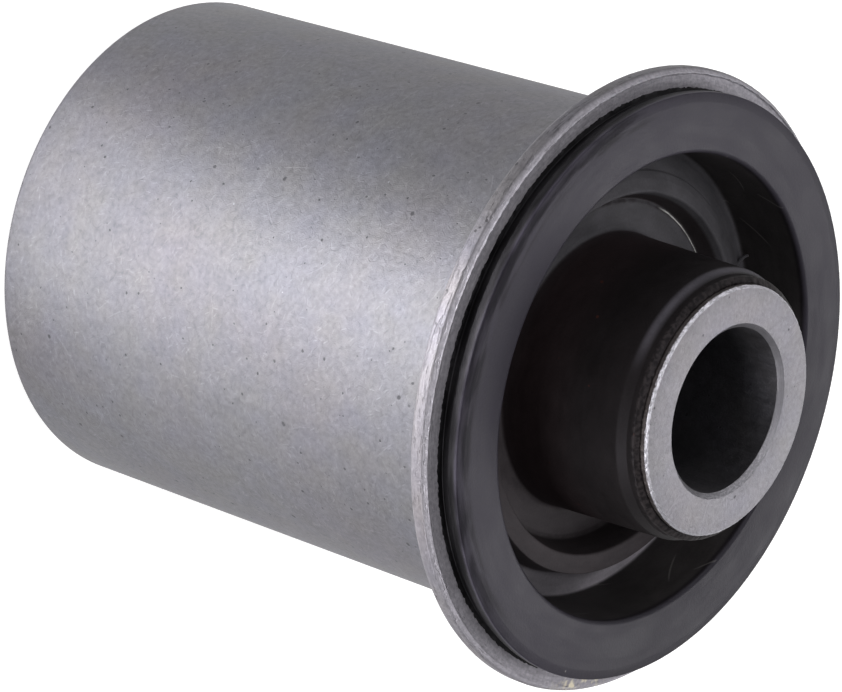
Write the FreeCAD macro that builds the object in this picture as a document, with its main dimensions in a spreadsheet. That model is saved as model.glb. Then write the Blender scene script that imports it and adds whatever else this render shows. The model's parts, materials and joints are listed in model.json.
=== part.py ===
"""Flanged rubber metal bush: a rolled steel sleeve, a moulded rubber body and a steel inner tube.

The bush stands on the far end of its inner tube. +Z runs up the bore towards the flange,
and the origin is the centre of the tube's lower end face. All sizes are in millimetres.
"""

import FreeCAD, Part
import math
import os

import Sketcher

# Driving sizes: name, value, what it is

SIZES = [
    ("bore_radius", 8.1, "clearance bore for the clamping bolt"),
    ("tube_wall", 4.15, "wall of the inner tube"),
    ("tube_overhang", 8.5, "inner tube beyond the sleeve's plain end"),
    ("tube_reach", 10.9, "inner tube beyond the flange's front face"),
    ("tube_edge_chamfer", 0.4, "outer edge of each tube end"),
    ("bore_chamfer", 0.65, "mouth of the bore at each end"),
    ("sleeve_radius", 25.5, "outside of the pressed-in sleeve"),
    ("sleeve_wall", 2.0, "sheet of the sleeve and its flange"),
    ("sleeve_length", 62.7, "plain end to the flange's front face"),
    ("sleeve_edge_round", 0.8, "outer edge of the plain end"),
    ("flange_width", 5.4, "flange rim beyond the sleeve's outside"),
    ("flange_bend", 1.2, "hollow corner behind the flange"),
    ("rim_round", 0.4, "both edges of the flange rim"),
    ("ring_margin", 1.9, "bare steel between the rubber ring and the rim"),
    ("ring_height", 2.4, "rubber ring above the flange's front face"),
    ("ring_overhang", 1.25, "widest line of the rubber ring above the flange's front face"),
    ("ring_undercut", 0.5, "rubber ring's foot inside its widest line"),
    ("ring_edge_round", 0.35, "outer edge of the rubber ring's face"),
    ("ring_lip_round", 0.5, "edge of the hole in the rubber ring"),
    ("liner_thickness", 0.7, "rubber on the sleeve's inside at the recess floor"),
    ("recess_draft", 0.3, "widening of the recess from floor to ring"),
    ("recess_depth", 5.3, "outer recess floor below the flange's front face"),
    ("inner_floor_drop", 0.4, "recess floor beside the tube below the outer floor"),
    ("ridge_width", 1.95, "top of the ridge in the recess"),
    ("ridge_height", 2.75, "top of the ridge above the outer recess floor"),
    ("ridge_offset", 0.5, "ridge outwards from the middle of the recess"),
    ("ridge_outer_lean", 0.5, "outer flank of the ridge, foot to top"),
    ("ridge_inner_lean", 0.75, "inner flank of the ridge, foot to top"),
    ("ridge_round", 0.35, "edges of the ridge's top"),
    ("recess_root_round", 0.45, "hollow corners of both recesses"),
    ("coat_thickness", 1.15, "rubber on the tube below the end shoulder"),
    ("coat_foot_thickness", 1.55, "rubber on the tube at the recess floors"),
    ("coat_neck_thickness", 0.5, "thin rubber on the tube near its end"),
    ("coat_neck_length", 1.0, "length of the thin rubber near the tube's end"),
    ("coat_shoulder_round", 0.6, "shoulder between the coat and its thin neck"),
    ("coat_end_margin", 0.7, "bare steel at each end of the tube"),
    ("far_recess_depth", 5.0, "recess at the sleeve's plain end"),
    ("far_liner_setback", 1.0, "rubber short of the sleeve's plain end"),
]

# Radii and heights that follow from the driving sizes

TUBE_RADIUS = "(Sizes.bore_radius + Sizes.tube_wall)"
SLEEVE_BORE = "(Sizes.sleeve_radius - Sizes.sleeve_wall)"
FLANGE_RADIUS = "(Sizes.sleeve_radius + Sizes.flange_width)"
BEND_OUTSIDE = "(Sizes.flange_bend + Sizes.sleeve_wall)"
FLANGE_FRONT = "(Sizes.tube_overhang + Sizes.sleeve_length)"
FLANGE_BACK = f"({FLANGE_FRONT} - Sizes.sleeve_wall)"
TUBE_LENGTH = f"({FLANGE_FRONT} + Sizes.tube_reach)"
RING_RADIUS = f"({FLANGE_RADIUS} - Sizes.ring_margin)"
RING_TOP = f"({FLANGE_FRONT} + Sizes.ring_height)"
RECESS_FOOT_RADIUS = f"({SLEEVE_BORE} - Sizes.liner_thickness)"
RECESS_MOUTH_RADIUS = f"({RECESS_FOOT_RADIUS} + Sizes.recess_draft)"
OUTER_FLOOR = f"({FLANGE_FRONT} - Sizes.recess_depth)"
INNER_FLOOR = f"({OUTER_FLOOR} - Sizes.inner_floor_drop)"
RIDGE_TOP = f"({OUTER_FLOOR} + Sizes.ridge_height)"
COAT_RADIUS = f"({TUBE_RADIUS} + Sizes.coat_thickness)"
COAT_FOOT_RADIUS = f"({TUBE_RADIUS} + Sizes.coat_foot_thickness)"
COAT_NECK_RADIUS = f"({TUBE_RADIUS} + Sizes.coat_neck_thickness)"
COAT_STEP = "(Sizes.coat_thickness - Sizes.coat_neck_thickness)"
COAT_END = f"({TUBE_LENGTH} - Sizes.coat_end_margin)"
COAT_SHOULDER = f"({COAT_END} - Sizes.coat_neck_length)"
RIDGE_MIDDLE = f"(({RECESS_FOOT_RADIUS} + {COAT_FOOT_RADIUS}) / 2 + Sizes.ridge_offset)"
RIDGE_OUTER_RADIUS = f"({RIDGE_MIDDLE} + Sizes.ridge_width / 2)"
RIDGE_INNER_RADIUS = f"({RIDGE_MIDDLE} - Sizes.ridge_width / 2)"
FAR_FLOOR = "(Sizes.tube_overhang + Sizes.far_recess_depth)"
FAR_LINER_END = "(Sizes.tube_overhang + Sizes.far_liner_setback)"

# A rounding takes up at most this share of a thin wall

WALL_SHARE = 0.95

# Sketch geometry: the points that a line or circle offers, and how near counts as the same

FULL_TURN = 360.0
FIRST_POINT, LAST_POINT, CENTRE_POINT = range(1, 4)
ORIGIN = (-1, FIRST_POINT)
MATCH = 1e-4


def make_size_sheet(doc):
    """Write the driving sizes into a sheet, each under its own name."""
    sheet = doc.addObject("Spreadsheet::Sheet", "Sizes")
    for row, (name, value, meaning) in enumerate(SIZES, start=1):
        sheet.set(f"A{row}", name)
        sheet.set(f"B{row}", str(value))
        sheet.set(f"C{row}", meaning)
        sheet.setAlias(f"B{row}", name)
    doc.recompute()
    return sheet


def value_of(doc, formula):
    """Work out a formula of the sheet's sizes as a plain number."""
    result = doc.getObject("Sizes").evalExpression(formula)
    return float(getattr(result, "Value", result))


def make_body(doc, name):
    """Add a body whose label names the sub-part's file."""
    body = doc.addObject("PartDesign::Body", name)
    body.Label = name
    body.Placement = FreeCAD.Placement()
    return body


def make_sketch(body, role, name):
    """Add a sketch on one of the body's own origin planes."""
    plane = next(item for item in body.Origin.OriginFeatures if item.Role == role)
    sketch = body.newObject("Sketcher::SketchObject", name)
    sketch.AttachmentSupport = [(plane, "")]
    sketch.MapMode = "FlatFace"
    return sketch


def draw_outline(doc, sketch, corners):
    """Draw a closed outline through named corners, each held by its radius and its height."""
    points = [
        FreeCAD.Vector(value_of(doc, across), value_of(doc, up), 0)
        for across, up in corners.values()
    ]
    for here, there in zip(points, points[1:] + points[:1]):
        sketch.addGeometry(Part.LineSegment(here, there), False)
    for index, (name, (across, up)) in enumerate(corners.items()):
        before = (index - 1) % len(points)
        sketch.addConstraint(
            Sketcher.Constraint("Coincident", before, LAST_POINT, index, FIRST_POINT)
        )
        for kind, ending, distance, formula in (
            ("DistanceX", "radius", points[index].x, across),
            ("DistanceY", "height", points[index].y, up),
        ):
            constraint = Sketcher.Constraint(kind, *ORIGIN, index, FIRST_POINT, distance)
            number = sketch.addConstraint(constraint)
            sketch.renameConstraint(number, f"{name}_{ending}")
            sketch.setExpression(f"Constraints.{name}_{ending}", formula)


def turn_outline(body, sketch, name):
    """Turn an outline once round the bore's axis."""
    turned = body.newObject("PartDesign::Revolution", name)
    turned.Profile = sketch
    turned.ReferenceAxis = (sketch, ["V_Axis"])
    turned.Angle = FULL_TURN
    sketch.Visibility = False
    return turned


def circles_at(doc, feature, places):
    """Name the circular edges of a feature at the given radii and heights."""
    names = []
    for across, up in places:
        radius = value_of(doc, across)
        height = value_of(doc, up)
        for number, edge in enumerate(feature.Shape.Edges, start=1):
            curve = edge.Curve
            if not isinstance(curve, Part.Circle):
                continue
            same_radius = math.isclose(curve.Radius, radius, abs_tol=MATCH)
            same_height = math.isclose(curve.Center.z, height, abs_tol=MATCH)
            if same_radius and same_height:
                names.append(f"Edge{number}")
    if len(names) != len(places):
        raise ValueError(f"{feature.Name}: {len(names)} edges found for {len(places)} corners")
    return names


def ease_edges(doc, body, base, kind, name, places, size_property, formula):
    """Round or chamfer the circular edges of the base at the given places."""
    doc.recompute()
    feature = body.newObject(f"PartDesign::{kind}", name)
    feature.Base = (base, circles_at(doc, base, places))
    feature.setExpression(size_property, formula)
    return feature


def round_corners(doc, body, base, corners, names, formula):
    """Round the named corners of a turned outline."""
    places = [corners[name] for name in names]
    feature_name = f"Round_{names[0]}"
    return ease_edges(doc, body, base, "Fillet", feature_name, places, "Radius", formula)


def make_inner_sleeve(doc):
    """Thick steel tube, chamfered inside and outside at both ends."""
    body = make_body(doc, "inner_sleeve")
    sketch = make_sketch(body, "XY_Plane", "TubeSection")
    for number, (name, formula) in enumerate(
        (("tube_outside", TUBE_RADIUS), ("tube_bore", "Sizes.bore_radius"))
    ):
        radius = value_of(doc, formula)
        sketch.addGeometry(Part.Circle(FreeCAD.Vector(), FreeCAD.Vector(0, 0, 1), radius), False)
        sketch.addConstraint(Sketcher.Constraint("Coincident", number, CENTRE_POINT, *ORIGIN))
        held = sketch.addConstraint(Sketcher.Constraint("Radius", number, radius))
        sketch.renameConstraint(held, name)
        sketch.setExpression(f"Constraints.{name}", formula)
    tube = body.newObject("PartDesign::Pad", "TubeLength")
    tube.Profile = sketch
    tube.setExpression("Length", TUBE_LENGTH)
    sketch.Visibility = False
    outer_edges = [(TUBE_RADIUS, "0"), (TUBE_RADIUS, TUBE_LENGTH)]
    bore_edges = [("Sizes.bore_radius", "0"), ("Sizes.bore_radius", TUBE_LENGTH)]
    eased = ease_edges(
        doc, body, tube, "Chamfer", "OuterEdges", outer_edges, "Size", "Sizes.tube_edge_chamfer"
    )
    eased = ease_edges(
        doc, body, eased, "Chamfer", "BoreMouths", bore_edges, "Size", "Sizes.bore_chamfer"
    )
    body.Tip = eased
    return body


def make_outer_sleeve(doc):
    """Rolled steel sleeve whose upper end is bent out into a flange."""
    corners = {
        "plain_end_bore": (SLEEVE_BORE, "Sizes.tube_overhang"),
        "plain_end_edge": ("Sizes.sleeve_radius", "Sizes.tube_overhang"),
        "bend_hollow": ("Sizes.sleeve_radius", FLANGE_BACK),
        "rim_back": (FLANGE_RADIUS, FLANGE_BACK),
        "rim_front": (FLANGE_RADIUS, FLANGE_FRONT),
        "bend_outside": (SLEEVE_BORE, FLANGE_FRONT),
    }
    body = make_body(doc, "outer_sleeve")
    sketch = make_sketch(body, "XZ_Plane", "SleeveOutline")
    draw_outline(doc, sketch, corners)
    shape = turn_outline(body, sketch, "SleeveTurn")
    for names, formula in (
        (["plain_end_edge"], "Sizes.sleeve_edge_round"),
        (["bend_hollow"], "Sizes.flange_bend"),
        (["bend_outside"], BEND_OUTSIDE),
        (["rim_back", "rim_front"], "Sizes.rim_round"),
    ):
        shape = round_corners(doc, body, shape, corners, names, formula)
    body.Tip = shape
    return body


def make_rubber_bush(doc):
    """One moulding: web, sleeve liner, flange ring, ridged recess and the coat on the tube."""
    corners = {
        "coat_start": (TUBE_RADIUS, "Sizes.coat_end_margin"),
        "far_coat_edge": (COAT_RADIUS, "Sizes.coat_end_margin"),
        "far_coat_foot": (COAT_FOOT_RADIUS, FAR_FLOOR),
        "far_liner_foot": (RECESS_FOOT_RADIUS, FAR_FLOOR),
        "far_liner_edge": (RECESS_MOUTH_RADIUS, FAR_LINER_END),
        "far_liner_back": (SLEEVE_BORE, FAR_LINER_END),
        "bend_seat": (SLEEVE_BORE, FLANGE_FRONT),
        "ring_foot": (f"{RING_RADIUS} - Sizes.ring_undercut", FLANGE_FRONT),
        "ring_widest": (RING_RADIUS, f"{FLANGE_FRONT} + Sizes.ring_overhang"),
        "ring_edge": (RING_RADIUS, RING_TOP),
        "recess_mouth": (RECESS_MOUTH_RADIUS, RING_TOP),
        "recess_foot": (RECESS_FOOT_RADIUS, OUTER_FLOOR),
        "ridge_outer_foot": (f"{RIDGE_OUTER_RADIUS} + Sizes.ridge_outer_lean", OUTER_FLOOR),
        "ridge_outer_edge": (RIDGE_OUTER_RADIUS, RIDGE_TOP),
        "ridge_inner_edge": (RIDGE_INNER_RADIUS, RIDGE_TOP),
        "ridge_inner_foot": (f"{RIDGE_INNER_RADIUS} - Sizes.ridge_inner_lean", INNER_FLOOR),
        "coat_foot": (COAT_FOOT_RADIUS, INNER_FLOOR),
        "coat_shoulder": (COAT_RADIUS, COAT_SHOULDER),
        "neck_foot": (COAT_NECK_RADIUS, COAT_SHOULDER),
        "neck_end": (COAT_NECK_RADIUS, COAT_END),
        "coat_end": (TUBE_RADIUS, COAT_END),
    }
    body = make_body(doc, "rubber_bush")
    sketch = make_sketch(body, "XZ_Plane", "RubberOutline")
    draw_outline(doc, sketch, corners)
    shape = turn_outline(body, sketch, "RubberTurn")
    hollow_corners = [
        "recess_foot", "ridge_outer_foot", "ridge_inner_foot", "coat_foot",
        "far_coat_foot", "far_liner_foot",
    ]
    for names, formula in (
        (["bend_seat"], BEND_OUTSIDE),
        (["ring_edge"], "Sizes.ring_edge_round"),
        (["recess_mouth"], "Sizes.ring_lip_round"),
        (hollow_corners, "Sizes.recess_root_round"),
        (["ridge_outer_edge", "ridge_inner_edge"], "Sizes.ridge_round"),
        (["coat_shoulder"], f"min(Sizes.coat_shoulder_round; {COAT_STEP} * {WALL_SHARE})"),
    ):
        shape = round_corners(doc, body, shape, corners, names, formula)
    body.Tip = shape
    return body


def check_document(doc, bodies):
    """Stop if any object failed or any sub-part isn't one valid solid."""
    for item in doc.Objects:
        if "Invalid" in item.State or "Error" in item.State:
            raise RuntimeError(f"{item.Name} did not compute: {item.State}")
    for body in bodies:
        if body.Shape.isNull() or not body.Shape.isValid():
            raise RuntimeError(f"{body.Label} has no valid shape")
        if len(body.Shape.Solids) != 1:
            raise RuntimeError(f"{body.Label} has {len(body.Shape.Solids)} solids")


def main():
    """Build the three sub-parts, check them and write each to its own file."""
    doc = FreeCAD.newDocument("RubberMetalBush")
    make_size_sheet(doc)
    bodies = [make_outer_sleeve(doc), make_rubber_bush(doc), make_inner_sleeve(doc)]
    doc.recompute()
    check_document(doc, bodies)
    os.makedirs("parts", exist_ok=True)
    for body in bodies:
        body.Shape.exportStep(f"parts/{body.Label}.step")
        print(f"{body.Label}: {body.Shape.Volume:.1f} mm3")


main()
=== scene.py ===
"""Looks of a flanged rubber metal bush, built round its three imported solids.

The bush stands on the lower end of its inner tube, flange up, with the bore along +Z. Each piece is
an outline of named corners, in millimetres, that one node tree turns round the bore: the steel
sleeve with its flange, the rubber moulding and the thick steel tube.
"""

import json
import logging
import math
from dataclasses import dataclass, field
from enum import Enum

import bmesh
import bpy
from mathutils import Matrix, Vector


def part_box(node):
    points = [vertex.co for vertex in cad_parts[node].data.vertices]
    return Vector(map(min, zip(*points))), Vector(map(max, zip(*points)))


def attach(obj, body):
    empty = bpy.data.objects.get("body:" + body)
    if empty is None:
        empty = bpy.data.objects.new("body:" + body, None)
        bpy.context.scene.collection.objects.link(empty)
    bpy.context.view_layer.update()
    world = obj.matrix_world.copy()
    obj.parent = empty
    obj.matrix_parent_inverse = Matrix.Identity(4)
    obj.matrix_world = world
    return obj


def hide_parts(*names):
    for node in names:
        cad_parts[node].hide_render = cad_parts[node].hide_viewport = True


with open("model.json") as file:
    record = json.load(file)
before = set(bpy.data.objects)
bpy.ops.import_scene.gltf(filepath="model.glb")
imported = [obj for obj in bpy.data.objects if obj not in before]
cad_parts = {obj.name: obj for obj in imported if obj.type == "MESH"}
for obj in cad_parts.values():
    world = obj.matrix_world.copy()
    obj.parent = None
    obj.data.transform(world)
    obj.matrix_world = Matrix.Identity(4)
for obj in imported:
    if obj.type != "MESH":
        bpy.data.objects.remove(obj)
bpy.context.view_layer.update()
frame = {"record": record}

LOG = logging.getLogger("bush")
MM = 0.001

# Radius of the circle that each section is swept along, well inside the bore, in millimetres

GUIDE_RADIUS = 1.0

# What a node takes in, a colour, a pair of lengths, and a sector round the bore with its softness

Socket = bpy.types.NodeSocket
Value = Socket | float
Colour = tuple[float, float, float]
Pair = tuple[float, float]
Sector = tuple[float, float, float]


class Slot(Enum):
    """Material slots of the record."""

    SLEEVE = "sleeve_steel"
    RUBBER = "moulded_rubber"
    TUBE = "tube_steel"


class NodeBench:
    """Adds and links the nodes of one tree."""

    def __init__(self, tree: bpy.types.NodeTree) -> None:
        """Take the tree that the nodes go into."""
        self.tree = tree

    def add(self, kind: str, inputs: dict | None = None, **settings: object) -> bpy.types.Node:
        """Add one node.

        Args:
            kind: the node's type, such as ShaderNodeMath.
            inputs: what goes into each input, by name or number: a socket or a plain value.
            settings: properties to set before the inputs are filled.

        Returns:
            The new node.
        """
        node = self.tree.nodes.new(kind)
        for name, value in settings.items():
            setattr(node, name, value)
        for key, value in (inputs or {}).items():
            if isinstance(value, Socket):
                self.tree.links.new(value, node.inputs[key])
            else:
                node.inputs[key].default_value = value
        return node

    def math(self, operation: str, first: Value, second: Value = 0.0, third: Value = 0.0) -> Socket:
        """Work out one arithmetic step and return its result."""
        node = self.add("ShaderNodeMath", {0: first, 1: second, 2: third}, operation=operation)
        return node.outputs[0]

    def vector(self, operation: str, *values: Socket | Colour, result: str = "Vector") -> Socket:
        """Work out one step with vectors and return its result."""
        node = self.add("ShaderNodeVectorMath", dict(enumerate(values)), operation=operation)
        return node.outputs[result]

    def scaled(self, vector: Socket | Colour, factor: Value) -> Socket:
        """Lengthen a vector, or lighten a colour, by a factor."""
        node = self.add("ShaderNodeVectorMath", {0: vector, "Scale": factor}, operation="SCALE")
        return node.outputs[0]

    def parts(self, vector: Socket) -> bpy.types.bpy_prop_collection:
        """The three parts of a vector or a colour."""
        return self.add("ShaderNodeSeparateXYZ", {0: vector}).outputs

    def joined(self, across: Value = 0.0, along: Value = 0.0, up: Value = 0.0) -> Socket:
        """A vector from its three parts."""
        return self.add("ShaderNodeCombineXYZ", {0: across, 1: along, 2: up}).outputs[0]

    def spread(self, value: Socket, low: Value, high: Value, to_low: Value = 0.0,
               to_high: Value = 1.0) -> Socket:
        """Ease a value from one range into another, held at both ends.

        Args:
            value: what is eased.
            low: where the first range starts.
            high: where it ends.
            to_low: where the second range starts.
            to_high: where it ends.

        Returns:
            The eased value.
        """
        node = self.add(
            "ShaderNodeMapRange",
            {"Value": value, "From Min": low, "From Max": high, "To Min": to_low, "To Max": to_high},
            interpolation_type="SMOOTHSTEP",
        )
        return node.outputs["Result"]

    def noise(self, place: Socket, grain: float, detail: float = 2.0, seed: Value = 0.0,
              colour: bool = False) -> Socket:
        """Cloudy noise.

        Args:
            place: where on the piece the noise is read.
            grain: size of its patches, in millimetres.
            detail: how much finer grain is mixed in.
            seed: shifts the pattern.
            colour: True for three noises in one.

        Returns:
            Noise about 0.5.
        """
        node = self.add(
            "ShaderNodeTexNoise",
            {"Vector": place, "W": seed, "Scale": 1 / (grain * MM), "Detail": detail},
            noise_dimensions="4D",
        )
        return node.outputs["Color" if colour else 0]


@dataclass(frozen=True)
class Corner:
    """One corner of a turned outline, in millimetres.

    Attributes:
        radius: distance from the bore's axis.
        height: place along the bore.
        rounding: radius of the arc that eases the corner, or 0 where it is sharp.
        ragged: how far the edge wanders outwards and upwards, as flash and sheared steel do.
        other: radius and height on the -X side of the bush, where they differ.
    """

    radius: float
    height: float
    rounding: float = 0.0
    ragged: Pair = (0.0, 0.0)
    other: Pair | None = None

    def place(self, other_side: bool) -> Vector:
        """Radius and height on one side of the bush."""
        return Vector(self.other if other_side and self.other else (self.radius, self.height))


@dataclass(frozen=True)
class Outline:
    """A closed section of a turned piece.

    Attributes:
        corners: the section's corners in order.
        arc_steps: flats in each rounded corner.
        longest: longest step along a straight stretch, in millimetres.
        arc_share: most that a rounding may take of the straight stretch beside it.
    """

    corners: list[Corner]
    arc_steps: int
    longest: float = 9.0
    arc_share: float = 0.48

    def eased(self, index: int, other_side: bool) -> list[Vector]:
        """Points of one corner: the corner itself, or the arc that rounds it.

        Args:
            index: which corner.
            other_side: True for the section on the -X side.

        Returns:
            Points as radius and height.
        """
        count = len(self.corners)
        corner = self.corners[index]
        here = corner.place(other_side)
        if not corner.rounding:
            return [here]
        back = self.corners[index - 1].place(other_side) - here
        ahead = self.corners[(index + 1) % count].place(other_side) - here
        half_angle = back.angle(ahead) / 2
        run = corner.rounding / math.tan(half_angle)
        run = min(run, self.arc_share * back.length, self.arc_share * ahead.length)
        back.normalize()
        ahead.normalize()
        centre = here + (back + ahead).normalized() * run / math.cos(half_angle)
        first = here + back * run - centre
        last = here + ahead * run - centre
        swept = first.angle(last)
        points = []
        for step in range(self.arc_steps + 1):
            share = step / self.arc_steps
            turned = first * math.sin((1 - share) * swept) + last * math.sin(share * swept)
            points.append(centre + turned / math.sin(swept))
        return points

    def points(self) -> list[tuple[Vector, Vector, Pair]]:
        """Every point of the section, in order.

        Returns:
            For each point its place, its place on the other side, and its raggedness.
        """
        rounded = []
        for index, corner in enumerate(self.corners):
            sides = zip(self.eased(index, False), self.eased(index, True))
            rounded.extend((near, far, corner.ragged) for near, far in sides)
        result = []
        for here, there in zip(rounded, rounded[1:] + rounded[:1]):
            steps = max(1, math.ceil((there[0] - here[0]).length / self.longest))
            result.append(here)
            for step in range(1, steps):
                share = step / steps
                near = here[0].lerp(there[0], share)
                far = here[1].lerp(there[1], share)
                result.append((near, far, (0.0, 0.0)))
        return result

    def mesh(self, name: str) -> bpy.types.Mesh:
        """Draw the section as a loop of edges that the turning tree can follow.

        Args:
            name: the mesh's name.

        Returns:
            A mesh of edges with the attributes other_side and ragged on its points.
        """
        points = self.points()
        places = [((near.x - GUIDE_RADIUS) * MM, -near.y * MM, 0.0) for near, _, _ in points]
        edges = [(index, (index + 1) % len(points)) for index in range(len(points))]
        mesh = bpy.data.meshes.new(name)
        mesh.from_pydata(places, edges, [])
        shifts = mesh.attributes.new("other_side", "FLOAT_VECTOR", "POINT")
        ragged = mesh.attributes.new("ragged", "FLOAT_VECTOR", "POINT")
        for index, (near, far, wander) in enumerate(points):
            shift = (far - near) * MM
            shifts.data[index].vector = (shift.x, 0.0, shift.y)
            ragged.data[index].vector = (wander[0] * MM, 0.0, wander[1] * MM)
        return mesh


class TurningTree:
    """Geometry node tree that turns a section round the bore.

    The section is swept along a small circle. Where a piece differs between its two sides, each
    point moves to its other place. Ragged edges wander by noise with a fixed seed, and Ragged Calm
    is how much of that is left on the +X side.
    """

    INPUTS: tuple[tuple[str, str, float | None], ...] = (
        ("Segments", "NodeSocketInt", 720),
        ("Guide Radius", "NodeSocketFloat", GUIDE_RADIUS * MM),
        ("Side Softness", "NodeSocketFloat", 0.5),
        ("Ragged Grain", "NodeSocketFloat", 1.0),
        ("Ragged Calm", "NodeSocketFloat", 1.0),
        ("Seed", "NodeSocketFloat", 1.0),
        ("Finish", "NodeSocketMaterial", None),
    )

    def __init__(self) -> None:
        """Build the tree once, for every turned piece."""
        self.tree = bpy.data.node_groups.new("Turn Section", "GeometryNodeTree")
        self.sockets: dict[str, str] = {}
        face = self.tree.interface
        face.new_socket("Section", in_out="INPUT", socket_type="NodeSocketGeometry")
        for name, kind, value in self.INPUTS:
            item = face.new_socket(name, in_out="INPUT", socket_type=kind)
            if value is not None:
                item.default_value = value
            self.sockets[name] = item.identifier
        face.new_socket("Piece", in_out="OUTPUT", socket_type="NodeSocketGeometry")
        self.bench = NodeBench(self.tree)
        self.given = self.bench.add("NodeGroupInput").outputs
        self.build()

    def build(self) -> None:
        """Lay out the nodes from the section to the finished piece."""
        bench, given = self.bench, self.given
        place = bench.add("GeometryNodeInputPosition").outputs[0]
        outwards = bench.vector("NORMALIZE", bench.vector("MULTIPLY", place, (1.0, 1.0, 0.0)))
        softness = given["Side Softness"]
        other = bench.spread(bench.parts(outwards)[0], softness, bench.math("MULTIPLY", softness, -1.0))
        shift = bench.scaled(self.attribute("other_side"), other)
        across, _, up = bench.parts(bench.vector("ADD", shift, self.wander(place, other)))
        offset = bench.vector("ADD", bench.scaled(outwards, across), bench.joined(up=up))
        shaped = bench.add("GeometryNodeSetPosition", {"Geometry": self.swept(), "Offset": offset})
        real = bench.add("GeometryNodeRealizeInstances", {0: shaped.outputs[0]})
        dressed = bench.add(
            "GeometryNodeSetMaterial", {"Geometry": real.outputs[0], "Material": given["Finish"]}
        )
        bench.add("NodeGroupOutput", {0: dressed.outputs[0]})

    def swept(self) -> Socket:
        """Sweep the section along the guide circle.

        Returns:
            The swept mesh.
        """
        section = self.bench.add("GeometryNodeMeshToCurve", {"Mesh": self.given["Section"]})
        guide = self.bench.add(
            "GeometryNodeCurvePrimitiveCircle",
            {"Resolution": self.given["Segments"], "Radius": self.given["Guide Radius"]},
        )
        profile = {"Curve": guide.outputs["Curve"], "Profile Curve": section.outputs[0]}
        return self.bench.add("GeometryNodeCurveToMesh", profile).outputs[0]

    def wander(self, place: Socket, other: Socket) -> Socket:
        """Work out how far each point of a ragged edge strays.

        Args:
            place: the point's place.
            other: 1 on the -X side and 0 on the +X side.

        Returns:
            How far it strays outwards and upwards.
        """
        bench, given = self.bench, self.given
        scaled = bench.scaled(place, bench.math("DIVIDE", 1 / MM, given["Ragged Grain"]))
        noise = bench.add(
            "ShaderNodeTexNoise",
            {"Vector": scaled, "W": given["Seed"], "Scale": 1.0, "Detail": 3.0},
            noise_dimensions="4D",
        )
        centred = bench.vector("SUBTRACT", noise.outputs["Color"], (0.5, 0.5, 0.5))
        strayed = bench.vector("MULTIPLY", centred, self.attribute("ragged"))
        unrest = bench.add(
            "ShaderNodeMapRange", {"Value": other, "To Min": given["Ragged Calm"], "To Max": 1.0}
        )
        return bench.scaled(strayed, unrest.outputs[0])

    def attribute(self, name: str) -> Socket:
        """Read a section point's vector attribute by name."""
        kind = "GeometryNodeInputNamedAttribute"
        return self.bench.add(kind, {"Name": name}, data_type="FLOAT_VECTOR").outputs["Attribute"]

    def turn(self, name: str, outline: Outline, finish: bpy.types.Material,
             **sizes: float) -> bpy.types.Object:
        """Turn a section into a plain closed mesh.

        Args:
            name: the piece's name.
            outline: the section, in millimetres.
            finish: the piece's material.
            sizes: values for the tree's inputs, with low dashes for spaces.

        Returns:
            The new object, at the origin, with its modifier used up.
        """
        piece = bpy.data.objects.new(name, outline.mesh(name))
        bpy.context.scene.collection.objects.link(piece)
        modifier = piece.modifiers.new("Turn Section", "NODES")
        modifier.node_group = self.tree
        for key, value in {**sizes, "Finish": finish}.items():
            modifier[self.sockets[key.replace("_", " ")]] = value
        evaluated = piece.evaluated_get(bpy.context.evaluated_depsgraph_get())
        mesh = bpy.data.meshes.new_from_object(evaluated)
        piece.modifiers.remove(modifier)
        piece.data = mesh
        finish_mesh(mesh)
        return piece


def finish_mesh(mesh: bpy.types.Mesh, crease_degrees: float = 38.0) -> None:
    """Turn every face outwards and shade the mesh smooth up to its sharp edges.

    Args:
        mesh: a closed mesh.
        crease_degrees: the angle past which an edge stays sharp.
    """
    shell = bmesh.new()
    shell.from_mesh(mesh)
    bmesh.ops.recalc_face_normals(shell, faces=shell.faces)
    shell.to_mesh(mesh)
    shell.free()
    for name in ("other_side", "ragged"):
        if name in mesh.attributes:
            mesh.attributes.remove(mesh.attributes[name])
    mesh.shade_smooth()
    mesh.set_sharp_from_angle(angle=math.radians(crease_degrees))


@dataclass(frozen=True)
class FrameSizes:
    """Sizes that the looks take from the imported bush, in millimetres."""

    bore_radius: float
    tube_radius: float
    tube_top: float
    sleeve_radius: float
    sleeve_base: float
    flange_radius: float
    flange_front: float
    ring_radius: float
    coat_base: float
    coat_top: float

    @classmethod
    def read(cls) -> "FrameSizes":
        """Read the pieces' boxes and the two round mounts from the frame.

        Returns:
            The sizes.
        """
        mounts = {mount["name"]: mount["dims"] for mount in frame["record"]["mounts"]}
        tube_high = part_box("inner_sleeve")[1] / MM
        sleeve_low, sleeve_high = (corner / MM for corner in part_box("outer_sleeve"))
        rubber_low, rubber_high = (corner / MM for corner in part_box("rubber_bush"))
        return cls(
            bore_radius=mounts["bolt_bore"]["r_mm"],
            tube_radius=tube_high.x,
            tube_top=tube_high.z,
            sleeve_radius=mounts["housing_press_fit"]["r_mm"],
            sleeve_base=sleeve_low.z,
            flange_radius=sleeve_high.x,
            flange_front=sleeve_high.z,
            ring_radius=rubber_high.x,
            coat_base=rubber_low.z,
            coat_top=rubber_high.z,
        )


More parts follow.
